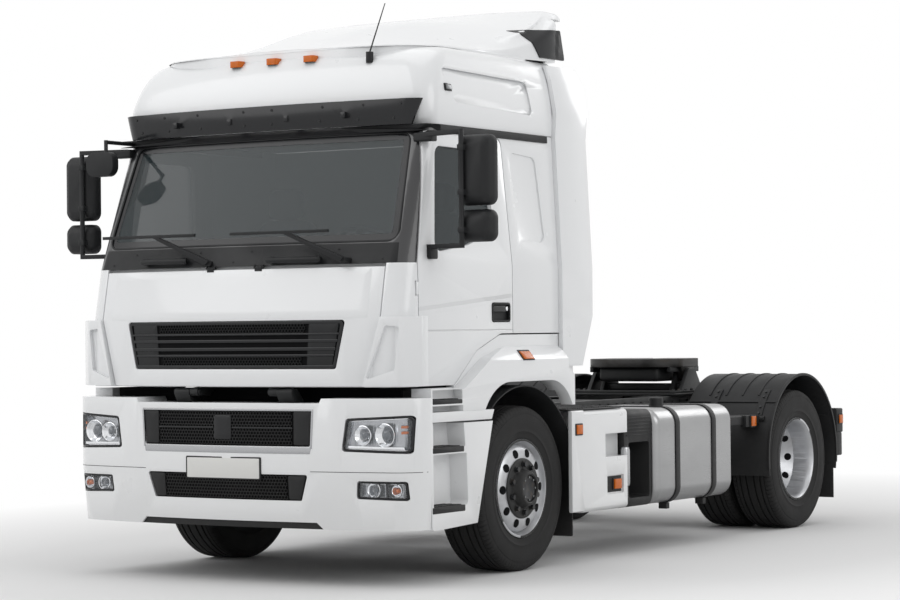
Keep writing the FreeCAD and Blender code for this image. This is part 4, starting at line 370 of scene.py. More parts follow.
# The record's slot, colour (the panel's paint for None), roughness, metallic, other sockets
# and steps of each finish.
RECIPES = {
    "white_paint": ("body_white", None, 0.28, 0.0, PAINT,
                    (PAINT_DRIFT, PAINT_GRAIN, PAINT_DUST)),
    "door_paint": ("body_white", None, 0.28, 0.0, PAINT,
                   (PAINT_DRIFT, ("creased",), PAINT_GRAIN, PAINT_DUST)),
    "cab_paint": ("body_white", None, 0.28, 0.0, PAINT, (("masked",), PAINT_GRAIN)),
    "plate_white": ("body_white", (0.72, 0.72, 0.70), 0.35, 0.0, {}, (
        ("grained", 2200.0, 0.0001, 0.3), ("dusty", (0.5, 0.48, 0.44), 0.3, 1.2, 0.25))),
    "black_trim": ("dark_plastic", (0.011, 0.0115, 0.0125), 0.55, 0.0,
                   {"Specular_IOR_Level": 0.28}, (
        ("grained", 1400.0, 0.0003, 0.4), ("cloudy", 12.0, 4.0, 0.2, 0.42),
        ("dusty", (0.10, 0.095, 0.088), 0.2, 1.2, 0.22))),
    "gloss_black": ("dark_plastic", (0.009, 0.0095, 0.011), 0.2, 0.0,
                    {"Specular_IOR_Level": 0.35}, (("cloudy", 20.0, 3.0, 0.1, 0.14),)),
    # A matte near-black for sheets of painted shade behind the grilles, in the gap over the bumper
    # and in the wheels' openings, and for the bumper's dark seam.
    "grille_dark": ("dark_plastic", (0.004, 0.004, 0.0045), 0.8, 0.0,
                    {"Specular_IOR_Level": 0.1}, (("cloudy", 20.0, 3.0, 0.2, 0.7),)),
    "mesh_black": ("dark_plastic", (0.012, 0.0125, 0.0135), 0.42, 0.0,
                   {"Specular_IOR_Level": 0.3}, (
        ("cloudy", 30.0, 4.0, 0.2, 0.34), ("dusty", (0.11, 0.105, 0.095), 0.2, 1.2, 0.25))),
    "tyre_rubber": ("tyre", (0.0105, 0.0105, 0.011), 0.78, 0.0, {"Specular_IOR_Level": 0.3}, (
        ("uneven", 220.0, 5.0, 0.0006, 0.5), ("cloudy", 14.0, 5.0, 0.22, 0.62),
        ("stained", (0.035, 0.033, 0.030), 7.0, 5.0, 2.0, 0.5))),
    "wheel_silver": ("wheel_silver", (0.55, 0.56, 0.58), 0.36, 0.75, {}, (
        ("uneven", 700.0, 3.0, 0.0002, 0.4), ("cloudy", 18.0, 4.0, 0.18, 0.28),
        ("stained", (0.16, 0.14, 0.12), 9.0, 6.0, 3.0, 0.9))),
    "tank_aluminium": ("tank_aluminium", (0.36, 0.362, 0.365), 0.28, 1.0, {}, (
        ("scratched", (6.0, 6.0, 900.0), 6.0, 0.0004, 0.25, 0.22, 0.14, 0.12),
        ("clouded_along", (0.24, 0.24, 0.242), 2.2, 4.0, (1.0, 1.0, 3.0)))),
    "chrome": ("steel", (0.82, 0.83, 0.85), 0.08, 1.0, {}, (("cloudy", 30.0, 3.0, 0.06, 0.04),)),
    "chrome_dark": ("steel", (0.20, 0.205, 0.21), 0.3, 0.9, {}, (
        ("cloudy", 60.0, 3.0, 0.15, 0.22),)),
    "silver_trim": ("steel", (0.40, 0.405, 0.415), 0.26, 0.9, {}, (
        ("cloudy", 16.0, 3.0, 0.1, 0.2),)),
    "greased_steel": ("steel", (0.045, 0.044, 0.043), 0.42, 0.7, {}, (
        ("scratched", (60.0, 6.0, 60.0), 7.0, 0.0006, 0.4, 0.35, 0.22),
        ("patched", (0.024, 0.021, 0.018), 8.0, 6.0, 0.45, 0.62, 0.9))),
    "frame_paint": ("chassis_grey", (0.014, 0.015, 0.016), 0.5, 0.0,
                    {"Specular_IOR_Level": 0.3}, (
        ("uneven", 160.0, 5.0, 0.0008, 0.45), ("cloudy", 11.0, 5.0, 0.3, 0.36),
        ("dusty", (0.085, 0.078, 0.068), 0.1, 1.3, 0.35))),
    "cast_iron": ("cast", (0.055, 0.055, 0.056), 0.62, 0.35, {}, (
        ("uneven", 260.0, 6.0, 0.0012, 0.6),
        ("patched", (0.13, 0.10, 0.075), 6.0, 6.0, 0.5, 0.75, 0.6))),
    "hub_metal": ("cast", (0.030, 0.031, 0.033), 0.38, 0.5, {}, (
        ("uneven", 500.0, 4.0, 0.0003, 0.5),
        ("patched", (0.11, 0.085, 0.06), 24.0, 5.0, 0.5, 0.75, 0.5))),
    "silencer_grey": ("silencer", (0.20, 0.20, 0.205), 0.55, 0.4, {}, (
        ("uneven", 240.0, 5.0, 0.0006, 0.5),
        ("patched", (0.19, 0.12, 0.07), 5.0, 6.0, 0.52, 0.8, 0.5))),
    "window_glass": ("glass", (0.030, 0.042, 0.046), 0.02, 0.0, {"IOR": 1.45, "Alpha": 0.60}, (
        ("cloudy", 3.0, 2.0, 0.02, 0.01), ("blended",))),
    "mirror_glass": ("glass", (0.8, 0.82, 0.84), 0.03, 1.0, {}, (
        ("cloudy", 25.0, 4.0, 0.05, 0.01),
        ("patched", (0.66, 0.67, 0.68), 9.0, 5.0, 0.45, 0.8, 0.4))),
    "lens": ("lamp", (0.80, 0.83, 0.86), 0.04, 0.0, {"IOR": 1.3, "Alpha": 0.07}, (
        ("uneven", 60.0, 2.0, 0.0004, 0.25),)),
    "lamp_back": ("lamp", (0.40, 0.41, 0.43), 0.18, 0.95, {}, (
        ("ribbed", "X", 420.0, 0.0010, 0.5), ("cloudy", 30.0, 3.0, 0.14, 0.12))),
    "projector_glass": ("lamp", (0.05, 0.06, 0.075), 0.03, 0.2,
                        {"Coat_Weight": 1.0, "Coat_Roughness": 0.02}, (
        ("cloudy", 40.0, 2.0, 0.05, 0.02),)),
    # The amber and red lenses are mixed with a darker colour along their ribs as painted shade.
    "amber_lens": ("lamp", (0.66, 0.145, 0.004), 0.16, 0.0, {"Specular_IOR_Level": 0.3}, (
        ("ribbed", "Z", 900.0, 0.0006, 0.7, (0.40, 0.075, 0.004)),)),
    "red_lens": ("lamp", (0.38, 0.008, 0.008), 0.16, 0.0, {"Specular_IOR_Level": 0.3}, (
        ("ribbed", "Z", 800.0, 0.0006, 0.7, (0.18, 0.0, 0.0)),)),
    "interior": ("interior", (0.16, 0.16, 0.165), 0.72, 0.0, {}, (
        ("grained", 700.0, 0.0005, 0.5), ("cloudy", 10.0, 3.0, 0.15, 0.62))),
    "seat_cloth": ("seat_fabric", (0.10, 0.105, 0.125), 0.9, 0.0, {"Sheen_Weight": 0.3}, (
        ("woven", (0.20, 0.21, 0.24)),)),
}
FINISHES = {}


def finish(name):
    """The material of a finish, made once from its recipe."""
    if name not in FINISHES:
        colour, roughness, metallic, sockets, steps = RECIPES[name][1:]
        made = Finish(name, colour or bpy.context.scene.tractor.paint_colour, roughness,
                      metallic, **sockets)
        for step, *values in steps:
            getattr(made, step)(*values)
        FINISHES[name] = made.material
    return FINISHES[name]


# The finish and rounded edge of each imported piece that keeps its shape.
PANELS = {node: (finish_name, width) for finish_name, width, nodes in (
    ("cab_paint", 0.004, "cab_frame"),
    ("white_paint", 0.004, "cab_rear_wall"),
    ("white_paint", 0.005, "front_flap"),
    ("white_paint", 0.006, "high_roof side_fairings left_side_box right_side_box"),
    ("white_paint", 0.008, "roof_spoiler cab_arches corner_deflectors bumper step_boxes"),
    ("door_paint", 0.005, "left_door right_door"),
    ("black_trim", 0.001, "tank_straps"),
    ("black_trim", 0.002, "wipers"),
    ("black_trim", 0.003, "upper_grille bumper_grilles wiper_cowl front_arch_liners radiator"),
    ("black_trim", 0.003, "roof_fittings"),
    ("black_trim", 0.004, "rear_mudguards tail_lamps"),
    ("black_trim", 0.005, "service_unit"),
    ("black_trim", 0.006, "left_mirrors right_mirrors"),
    ("gloss_black", 0.003, "sun_visor"),
    ("interior", 0.003, "steering_wheel"),
    ("interior", 0.006, "dashboard"),
    ("frame_paint", 0.003, "ladder_frame suspension_springs air_tanks"),
    ("frame_paint", 0.004, "cab_floor fifth_wheel_mount"),
    ("cast_iron", 0.0, "rear_axle_housing"),
    ("cast_iron", 0.002, "track_rod"),
    ("cast_iron", 0.003, "left_knuckle right_knuckle"),
    ("cast_iron", 0.006, "front_axle_beam driveline"),
    ("cast_iron", 0.008, "engine_block"),
    ("greased_steel", 0.004, "fifth_wheel_plate"),
    ("tank_aluminium", 0.006, "fuel_tank"),
    ("silencer_grey", 0.008, "silencer"),
    ("wheel_silver", 0.002, "left_front_wheel right_front_wheel"),
    ("wheel_silver", 0.002, "left_rear_wheels right_rear_wheels"),
    ("window_glass", 0.0, "windscreen left_door_glass right_door_glass"),
) for node in nodes.split()}

BODY_OF = {node: body for body, names in frame["record"]["behaviour"]["bodies"].items()
           for node in names}
SLOT_OF = {row["node"]: row["material_slot"] for row in frame["record"]["subparts"]}


# Making meshes


def added(name, data):
    """A new object in the scene."""
    obj = bpy.data.objects.new(name, data)
    bpy.context.scene.collection.objects.link(obj)
    return obj


def tidy_mesh(mesh, merge=1e-6):
    """Joins doubled points and turns the faces outwards."""
    work = bmesh.new()
    work.from_mesh(mesh)
    bmesh.ops.remove_doubles(work, verts=work.verts, dist=merge)
    bmesh.ops.recalc_face_normals(work, faces=work.faces)
    work.to_mesh(mesh)
    work.free()


def form_from(name, verts, faces):
    """A plain form from points and faces, with its faces pointing outwards."""
    mesh = bpy.data.meshes.new(name)
    mesh.from_pydata([tuple(vert) for vert in verts], [], faces)
    tidy_mesh(mesh)
    return added(name, mesh)


def dress(obj, finish_name, body, slot=None, smooth=40.0):
    """Gives a piece its finish, its smooth shading and the body that it rides on."""
    obj.data.materials.clear()
    obj.data.materials.append(finish(finish_name))
    obj.data.polygons.foreach_set("use_smooth", [True] * len(obj.data.polygons))
    obj.data.set_sharp_from_angle(angle=math.radians(smooth))
    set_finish(obj, slot or RECIPES[finish_name][0])
    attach(obj, body)
    return obj


def baked(obj):
    """Applies an object's modifiers to its mesh."""
    graph = bpy.context.evaluated_depsgraph_get()
    mesh = bpy.data.meshes.new_from_object(obj.evaluated_get(graph))
    old = obj.data
    obj.modifiers.clear()
    obj.data = mesh
    bpy.data.meshes.remove(old)
    return obj


def soften(obj, width, segments=2, angle=35.0):
    """Rounds a piece's sharp edges."""
    if width <= 0:
        return
    rounding = obj.modifiers.new("Rounding", "BEVEL")
    rounding.width = width
    rounding.segments = segments
    rounding.limit_method = "ANGLE"
    rounding.angle_limit = math.radians(angle)
    baked(obj)


def refine(node):
    """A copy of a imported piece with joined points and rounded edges."""
    finish_name, width = PANELS[node]
    mesh = frame["nodes"][node].data.copy()
    obj = added(node + "_panel", mesh)
    tidy_mesh(mesh, JOIN_WITHIN)
    work = bmesh.new()
    work.from_mesh(mesh)
    bmesh.ops.dissolve_limit(work, angle_limit=math.radians(FLAT_WITHIN), verts=work.verts,
                             edges=work.edges)
    work.to_mesh(mesh)
    work.free()
    soften(obj, width)
    dress(obj, finish_name, BODY_OF[node], SLOT_OF[node], SHARP_FROM)
    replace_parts(obj, node)
    return obj


def recolour(obj, finish_name, test):
    """Gives the faces that pass a test on their middle another finish."""
    obj.data.materials.append(finish(finish_name))
    slot = len(obj.data.materials) - 1
    for face in obj.data.polygons:
        if test(face.center):
            face.material_index = slot


def from_bmesh(name, work, finish_name, body, edge, smooth=35.0, segments=2, angle=40.0):
    """A finished piece from a mesh in the making, with rounded edges."""
    mesh = bpy.data.meshes.new(name)
    work.to_mesh(mesh)
    work.free()
    obj = added(name, mesh)
    soften(obj, edge, segments, angle)
    return dress(obj, finish_name, body, None, smooth)


def block(name, low, high, finish_name, body, edge, side=1):
    """A moulded block between two corners (x, station, z), mirrored for the far side."""
    across = sorted((side * low[0], side * high[0]))
    low = (across[0], AXLE + low[1], low[2])
    high = (across[1], AXLE + high[1], high[2])
    work = bmesh.new()
    bmesh.ops.create_cube(work, size=1.0)
    for vert in work.verts:
        vert.co = [low[i] + (vert.co[i] + 0.5) * (high[i] - low[i]) for i in range(3)]
    from_bmesh(name, work, finish_name, body, edge, 40.0, 3, 35.0)


def turned(name, profile, centre, finish_name, body, axis, steps, smooth=35.0, closed=False):
    """A round piece turned about an axis; profile is (distance along the axis, radius)."""
    verts = []
    for step in range(steps):
        turn = 2 * math.pi * step / steps
        for along, radius in profile:
            a = radius * math.cos(turn)
            b = radius * math.sin(turn)
            place = {"X": (along, a, b), "Y": (a, along, b), "Z": (a, b, along)}[axis]
            verts.append([middle + part for middle, part in zip(centre, place)])
    faces = []
    count = len(profile)
    for step in range(steps):
        near = step * count
        far = (step + 1) % steps * count
        for index in range(count if closed else count - 1):
            after = (index + 1) % count
            faces.append((near + index, near + after, far + after, far + index))
    return dress(form_from(name, verts, faces), finish_name, body, None, smooth)


def lathe(name, profile, centre, finish_name, body, steps, smooth=35.0):
    """A hollow ring turned about the X axis; the profile goes right round its section."""
    return turned(name, profile, centre, finish_name, body, "X", steps, smooth, True)


def beam(name, rings, finish_name, body, edge, smooth):
    """A bar through rings of four points, closed at both ends."""
    work = bmesh.new()
    rows = [[work.verts.new(point) for point in ring] for ring in rings]
    for here, after in zip(rows, rows[1:]):
        for index in range(4):
            ahead = (index + 1) % 4
            work.faces.new((here[index], here[ahead], after[ahead], after[index]))
    work.faces.new(rows[0])
    work.faces.new(rows[-1])
    bmesh.ops.recalc_face_normals(work, faces=work.faces)
    from_bmesh(name, work, finish_name, body, edge, smooth)


def tube(name, points, radius):
    """A round black bar on the cab along a smooth line."""
    curve = bpy.data.curves.new(name, "CURVE")
    curve.dimensions = "3D"
    curve.bevel_depth = radius
    curve.bevel_resolution = 8
    curve.use_fill_caps = True
    spline = curve.splines.new("NURBS")
    spline.points.add(len(points) - 1)
    for item, point in zip(spline.points, points):
        item.co = (*point, 1.0)
    spline.order_u = min(4, len(points))
    spline.use_endpoint_u = True
    spline.resolution_u = 10
    helper = added(name + "_line", curve)
    graph = bpy.context.evaluated_depsgraph_get()
    mesh = bpy.data.meshes.new_from_object(helper.evaluated_get(graph))
    bpy.data.objects.remove(helper)
    tidy_mesh(mesh)
    return dress(added(name, mesh), "black_trim", "cab")


def joined(name, pieces):
    """Several pieces of one finish and body made one."""
    body = body_of(pieces[0])[0]
    slot = pieces[0]["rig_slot"]
    material = pieces[0].data.materials[0]
    work = bmesh.new()
    for piece in pieces:
        work.from_mesh(piece.data)
        bpy.data.objects.remove(piece)
    mesh = bpy.data.meshes.new(name)
    work.to_mesh(mesh)
    work.free()
    mesh.materials.append(material)
    mesh.set_sharp_from_angle(angle=math.radians(35))
    obj = added(name, mesh)
    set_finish(obj, slot)
    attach(obj, body)
    return obj


# Outlines, and the faces that they are laid on


def rect(left, low, right, high):
    """A rectangle's corners."""
    return ((left, low), (right, low), (right, high), (left, high))


def flare(low_half, low, high_half, high):
    """The corners of a form that is even about the middle and widens upwards."""
    return ((-low_half, low), (low_half, low), (high_half, high), (-high_half, high))


def rounded(corners, radius, side=1, steps=4):
    """An outline from corners (across, up), where a third number is a corner's own radius."""
    places = [Vector((side * corner[0], corner[1])) for corner in corners]
    points = []
    for index, here in enumerate(places):
        size = corners[index][2] if len(corners[index]) > 2 else radius
        if size <= 0:
            points.append(here)
            continue
        back = (places[index - 1] - here).normalized()
        ahead = (places[(index + 1) % len(places)] - here).normalized()
        reach = size / math.tan(back.angle(ahead) / 2)
        start = here + back * reach
        end = here + ahead * reach
        for step in range(steps + 1):
            share = step / steps
            points.append(start * (1 - share) ** 2 + here * 2 * share * (1 - share)
                          + end * share ** 2)
    return points


def dense(points, step):
    """The same outline with its long sides divided."""
    result = []
    for index, here in enumerate(points):
        ahead = points[(index + 1) % len(points)]
        parts = max(1, math.ceil((ahead - here).length / step))
        result += [here.lerp(ahead, part / parts) for part in range(parts)]
    return result


def shrunk(points, width):
    """A convex outline drawn in by an even width."""
    result = []
    count = len(points)
    turn = 1 if sum(points[i - 1].cross(points[i]) for i in range(count)) > 0 else -1
    for index, here in enumerate(points):
        before = (here - points[index - 1]).normalized()
        after = (points[(index + 1) % count] - here).normalized()
        way = before + after
        inward = Vector((-way.y, way.x)).normalized() * turn
        lean = max(inward.dot(Vector((-before.y, before.x)) * turn), 0.35)
        result.append(here + inward * width / lean)
    return result


def front_place(skin):
    """Turns (across, up) on a bowed front and a depth below it into a place."""
    return lambda across, up, depth: (across, skin(across, up, depth), up)


def flat_place(y, way=1):
    """Turns (across, up) on an upright face across the truck and a depth into a place."""
    return lambda across, up, depth: (across, y + way * depth, up)


def side_place(x, side):
    """Turns (station, up) on a flat side and a depth below it into a place."""
    return lambda station, up, depth: (side * (x - depth), station + AXLE, up)


def top_place(z):
    """Turns (across, station) on a level top and a depth below it into a place."""
    return lambda across, station, depth: (across, station + AXLE, z - depth)


def tree_of(node):
    """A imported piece's faces, ready to be hit by rays."""
    mesh = frame["nodes"][node].data
    return BVHTree.FromPolygons([vert.co for vert in mesh.vertices],
                                [face.vertices for face in mesh.polygons])


def cast_place(node, side):
    """Turns (station, up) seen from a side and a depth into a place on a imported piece."""
    tree = tree_of(node)

    def place(station, up, depth):
        start = Vector((side * 2.0, station + AXLE, up))
        hit = tree.ray_cast(start, Vector((-side, 0, 0)))[0] or tree.find_nearest(start)[0]
        return (hit.x - side * depth, station + AXLE, up)
    return place


def laid_panel(name, outline, place, depths, finish_name, body, edge=0.0015, step=0.06):
    """A panel of an outline laid on a face between two depths below it."""
    work = bmesh.new()
    work.faces.new([work.verts.new((point.x, 0, point.y)) for point in outline])
    for axis in (0, 2):
        low = min(vert.co[axis] for vert in work.verts)
        high = max(vert.co[axis] for vert in work.verts)
        normal = Vector((axis == 0, 0, axis == 2))
        parts = max(1, math.ceil((high - low) / step))
        for index in range(1, parts):
            bmesh.ops.bisect_plane(work, geom=work.verts[:] + work.edges[:] + work.faces[:],
                                   plane_co=normal * (low + (high - low) * index / parts),
                                   plane_no=normal)
    made = bmesh.ops.extrude_face_region(work, geom=work.faces[:])
    for item in made["geom"]:
        if isinstance(item, bmesh.types.BMVert):
            item.co.y = 1.0
    for vert in work.verts:
        vert.co = place(vert.co.x, vert.co.z, depths[1] if vert.co.y > 0.5 else depths[0])
    bmesh.ops.recalc_face_normals(work, faces=work.faces)
    return from_bmesh(name, work, finish_name, body, edge)


def lay(place, body, rows, word="", side=1):
    """Lays a table of panels: name, corners, radius, depths, finish, edge and step."""
    for name, corners, radius, depths, finish_name, *rest in rows:
        laid_panel(name.format(word), rounded(corners, radius, side), place, depths,
                   finish_name, body, *rest)


def laid_ring(name, outline, width, place, depths, finish_name, body, edge, step):
    """A frame of even width laid on a face between two depths below it."""
    outer = dense(outline, step)
    inner = shrunk(outer, width)
    work = bmesh.new()
    rows = [[work.verts.new(place(point.x, point.y, depth)) for point in points]
            for points, depth in ((outer, depths[0]), (inner, depths[0]), (inner, depths[1]),
                                  (outer, depths[1]))]
    for row in range(4):
        near, far = rows[row], rows[(row + 1) % 4]
        for index in range(len(outer)):
            after = (index + 1) % len(outer)
            work.faces.new((near[index], near[after], far[after], far[index]))
    bmesh.ops.recalc_face_normals(work, faces=work.faces)
    from_bmesh(name, work, finish_name, body, edge)


def marker(name, place, left, low, right, high, body, finish_name="amber_lens", proud=0.012):
    """A small lamp in a dark frame on a side."""
    rim = 0.008
    lay(place, body, (
        (name + "_case", rect(left, low, right, high), 0.006, (-proud * 0.5, 0.010),
         "black_trim", 0.002, 0.04),
        (name + "_lens", rect(left + rim, low + rim, right - rim, high - rim), 0.005,
         (-proud, 0.0), finish_name, 0.002, 0.04)))


def arc_band(name, near, far, inner, outer, start, end, steps=40):
    """A black band that follows a rear mudguard's round top from one angle to another."""
    rings = []
    for step in range(steps + 1):
        turn = math.radians(start + (end - start) * step / steps)
        rings.append([(x, GUARD_Y + radius * math.cos(turn), GUARD_Z + radius * math.sin(turn))
                      for x, radius in ((near, inner), (near, outer), (far, outer),
                                        (far, inner))])
    beam(name, rings, "black_trim", "chassis", 0.0015, 35.0)


# Patterns made with geometry nodes


def pattern_tree(name, sockets):
    """A geometry tree with its inputs and outputs, and a short way to add nodes."""
    tree = bpy.data.node_groups.new(name, "GeometryNodeTree")
    tree.interface.new_socket("Geometry", in_out="OUTPUT", socket_type="NodeSocketGeometry")
    tree.interface.new_socket("Geometry", in_out="INPUT", socket_type="NodeSocketGeometry")
    for label, kind in sockets:
        tree.interface.new_socket(label, in_out="INPUT", socket_type="NodeSocket" + kind)
    given = tree.nodes.new("NodeGroupInput").outputs

    def add(kind, settings=None, **links):
        made = tree.nodes.new(kind)
        for key, value in (settings or {}).items():
            setattr(made, key, value)
        for key, value in links.items():
            slot = made.inputs[int(key[1:]) if key[1:].isdigit() else key]
            if isinstance(value, bpy.types.NodeSocket):
                tree.links.new(value, slot)
            else:
                slot.default_value = value
        return made.outputs[0]
    return tree, given, add


def finish_tree(tree, given, add, instances):
    """Ends a pattern with real meshes and their material."""
    real = add("GeometryNodeRealizeInstances", Geometry=instances)
    painted = add("GeometryNodeSetMaterial", Geometry=real, Material=given["Material"])
    tree.links.new(painted, tree.nodes.new("NodeGroupOutput").inputs[0])
    return tree


def object_mesh(tree, given):
    """The mesh of the pattern's form."""
    info = tree.nodes.new("GeometryNodeObjectInfo")
    tree.links.new(given["Form"], info.inputs["Object"])
    return info.outputs["Geometry"]


def make_point_tree():
    """Copies of a small form on each point of a mesh, turned by the point's own attribute."""
    tree, given, add = pattern_tree("repeat_on_points", (
        ("Form", "Object"), ("Material", "Material")))
    turn = add("GeometryNodeInputNamedAttribute", {"data_type": "FLOAT_VECTOR"}, Name="turn")
    spread = add("GeometryNodeInstanceOnPoints", Points=given["Geometry"],
                 Instance=object_mesh(tree, given), Rotation=turn)
    return finish_tree(tree, given, add, spread)


def make_ring_tree():
    """Copies of a small form turned round a wheel's axis."""
    tree, given, add = pattern_tree("repeat_round", (
        ("Form", "Object"), ("Count", "Int"), ("Start", "Float"), ("Centre", "Vector"),
        ("Material", "Material")))
    share = add("ShaderNodeMath", {"operation": "DIVIDE"}, i0=add("GeometryNodeInputIndex"),
                i1=given["Count"])
    angle = add("ShaderNodeMath", {"operation": "MULTIPLY_ADD"}, i0=share, i1=2 * math.pi,
                i2=given["Start"])
    places = add("GeometryNodePoints", Count=given["Count"], Position=given["Centre"])
    spread = add("GeometryNodeInstanceOnPoints", Points=places,
                 Instance=object_mesh(tree, given),
                 Rotation=add("ShaderNodeCombineXYZ", X=angle))
    return finish_tree(tree, given, add, spread)


TREES = {}


def grow(name, base, make_tree, finish_name, body, **inputs):
    """Runs a pattern on a base mesh and keeps its result as a plain piece."""
    if make_tree not in TREES:
        TREES[make_tree] = make_tree()
    obj = added(name, base)
    pattern = obj.modifiers.new("Pattern", "NODES")
    pattern.node_group = TREES[make_tree]
    inputs["Material"] = finish(finish_name)
    for item in pattern.node_group.interface.items_tree:
        if item.in_out == "INPUT" and item.name in inputs:
            pattern[item.identifier] = inputs[item.name]
    baked(obj)
    bpy.data.objects.remove(inputs["Form"])
    tidy_mesh(obj.data)
    return dress(obj, finish_name, body)


def on_points(name, places, form, finish_name, body, turns=None):
    """Copies of a form at places, each turned by its own angles."""
    base = bpy.data.meshes.new(name + "_places")
    base.from_pydata([tuple(place) for place in places], [], [])
    turn = base.attributes.new("turn", "FLOAT_VECTOR", "POINT")
    for item, angles in zip(turn.data, turns or [(0, 0, 0)] * len(places)):
        item.vector = angles
    grow(name, base, make_point_tree, finish_name, body, Form=form)


def round_axis(name, centre, count, form, finish_name, body, start=0.0):
    """Copies of a form round a wheel's axis; the form's Y points away from the axis."""
    return grow(name, bpy.data.meshes.new(name + "_base"), make_ring_tree, finish_name, body,
                Form=form, Count=count, Start=start, Centre=tuple(centre))


def prism_faces(count, start=0):
    """The faces between two rings of points that follow each other, with both ends."""
    after = start + count
    return [tuple(range(start, after)), tuple(range(after, after + count))] + [
        (start + i, start + (i + 1) % count, after + (i + 1) % count, after + i)
        for i in range(count)]


def circle_points(radius, count, start=0.0):
    """Points of a regular outline."""
    return [(radius * math.cos(start + 2 * math.pi * i / count),
             radius * math.sin(start + 2 * math.pi * i / count)) for i in range(count)]


def round_form(name, radius, sides, low, high, axis, taper, reach=0.0):
    """A bolt head or disc along an axis, tapered at its far end and moved out along Y."""
    def place(across, up, along):
        return {"X": (along, across + reach, up), "Y": (across, along, up),
                "Z": (across, up, along)}[axis]
    outline = circle_points(radius, sides)
    verts = [place(a * share, b * share, along) for along, share in ((low, 1.0), (high, taper))
             for a, b in outline]
    return form_from(name, verts, prism_faces(sides))


def blocks_form(name, outlines, half):
    """Upright blocks side by side in one form; an outline is (across, out) points."""
    verts = []
    faces = []
    for outline in outlines:
        faces += prism_faces(len(outline), len(verts))
        verts += [(across, out, along) for along in (-half, half) for across, out in outline]
    return form_from(name, verts, faces)


def lying_bar(name, low_half, high_half, height, half):
    """A low bar across the truck with sloping ends, to be set on a level top."""
    outline = [(-low_half, -0.001), (low_half, -0.001), (high_half, height),
               (-high_half, height)]
    form = blocks_form(name, [outline], half)
    form.data.transform(Matrix.Rotation(math.pi / 2, 4, "X"))
    return form


# The scene's operators


class TRACTOR_PG_settings(bpy.types.PropertyGroup):
    """Sizes and colours that a user may change before the pieces are made."""

    paint_colour: FloatVectorProperty(
        name="Paint", description="Colour of the painted panels", subtype="COLOR",
        default=(0.80, 0.81, 0.82), min=0.0, max=1.0)
    tread_depth: FloatProperty(
        name="Tread Depth", description="Depth of the tyres' grooves", unit="LENGTH",
        default=0.014, min=0.002, max=0.03)
    tread_blocks: IntProperty(
        name="Tread Blocks", description="Shoulder blocks round each tyre", default=96,
        min=24, max=160)
    light_level: FloatProperty(
        name="Light Level", description="Strength of the studio light", default=1.0,
        min=0.1, max=4.0)


class TRACTOR_OT_stage(bpy.types.Operator):
    """Camera, floor and soft studio light"""

    bl_idname = "tractor.stage"
    bl_label = "Stage"

    def execute(self, context):
        self.add_camera(context.scene)
        self.add_world(context.scene)
        self.add_floor()
        for name, place, target, size, power in (
                ("key_light", (-4.5, -8.5, 7.5), (0, -1.5, 1.4), 9.0, 320),
                ("side_light", (9.0, -2.5, 5.5), (0.5, 0, 1.4), 6.0, 170),
                ("rear_light", (3.0, 9.0, 6.0), (0, 1.0, 1.5), 5.0, 130),
                ("top_light", (0, -1.0, 9.5), (0, -0.6, 0), 7.0, 120)):
            data = bpy.data.lights.new(name, "AREA")
            data.shape = "DISK"
            data.size = size
            data.energy = power * context.scene.tractor.light_level
            aim = (Vector(target) - Vector(place)).to_track_quat("-Z", "Y")
            added(name, data).matrix_world = (Matrix.Translation(place)
                                              @ aim.to_matrix().to_4x4())
        return {"FINISHED"}

    def add_camera(self, scene):
        """The camera that took the photograph, solved from the wheels and the cab's edges."""
        yaw, pitch, roll = 0.5666, 0.0112, -0.0102
        forward = Vector((-math.sin(yaw) * math.cos(pitch), math.cos(yaw) * math.cos(pitch),
                          math.sin(pitch)))
        level = Vector((math.cos(yaw), math.sin(yaw), 0))
        above = level.cross(forward)
        right = level * math.cos(roll) + above * math.sin(roll)
        up = above * math.cos(roll) - level * math.sin(roll)
        data = bpy.data.cameras.new("photo_camera")
        data.lens = 103.35
        data.sensor_width = 36.0
        data.clip_end = 200.0
        place = Matrix((right, up, -forward)).transposed().to_4x4()
        place.translation = Vector((9.1941, -13.402 + AXLE, 1.4664))
        scene.camera = added("photo_camera", data)
        scene.camera.matrix_world = place
        scene.view_settings.view_transform = "Standard"

    def seen(self, tree):
        """One for rays that show the background: seen straight, in metal or through glass."""
        rays = tree.nodes.new("ShaderNodeLightPath").outputs
        camera, glossy, through = (Value(tree, rays[f"Is {kind} Ray"])
                                   for kind in ("Camera", "Glossy", "Transmission"))
        return camera.most(glossy).most(through)

    def add_world(self, scene):
        """White where it is seen, and a weaker white where it lights the truck."""
        scene.world = bpy.data.worlds.new("studio")
        scene.world.use_nodes = True
        tree = scene.world.node_tree
        tree.nodes.clear()
        light = tree.nodes.new("ShaderNodeBackground")
        light.inputs["Color"].default_value = (1, 1, 1, 1)
        strength = self.seen(tree) * 0.45 + 0.55
        tree.links.new(strength.socket, light.inputs["Strength"])
        output = tree.nodes.new("ShaderNodeOutputWorld")
        tree.links.new(light.outputs[0], output.inputs["Surface"])

    def add_floor(self):
        """A pale floor that fades into the white background away from the truck."""
        radius, fade_start, fade_end = 40, 0.9, 1.9
        half_width_squared, half_length_squared = 9.0, 22.0
        mesh = bpy.data.meshes.new("floor")
        rim = circle_points(radius, 96)
        mesh.from_pydata([(0, 0, 0)] + [(x, y, 0) for x, y in rim], [],
                         [(0, i + 1, (i + 1) % len(rim) + 1) for i in range(len(rim))])
        floor = added("floor", mesh)
        made = Finish("floor_white", (0.80, 0.80, 0.80), 0.85)
        across = made.along("X")
        back = made.along("Y")
        reach = (across * across / half_width_squared
                 + back * back / half_length_squared) ** 0.5
        glow = made.node("ShaderNodeEmission", Color=(1, 1, 1, 1), Strength=1.0)
        mix = made.node("ShaderNodeMixShader")
        made.feed(mix.inputs[0], reach.within(fade_start, fade_end) * self.seen(made.tree))
        made.feed(mix.inputs[1], made.shader.outputs[0])
        made.feed(mix.inputs[2], glow.outputs[0])
        made.feed(made.output.inputs["Surface"], mix.outputs[0])
        mesh.materials.append(made.material)


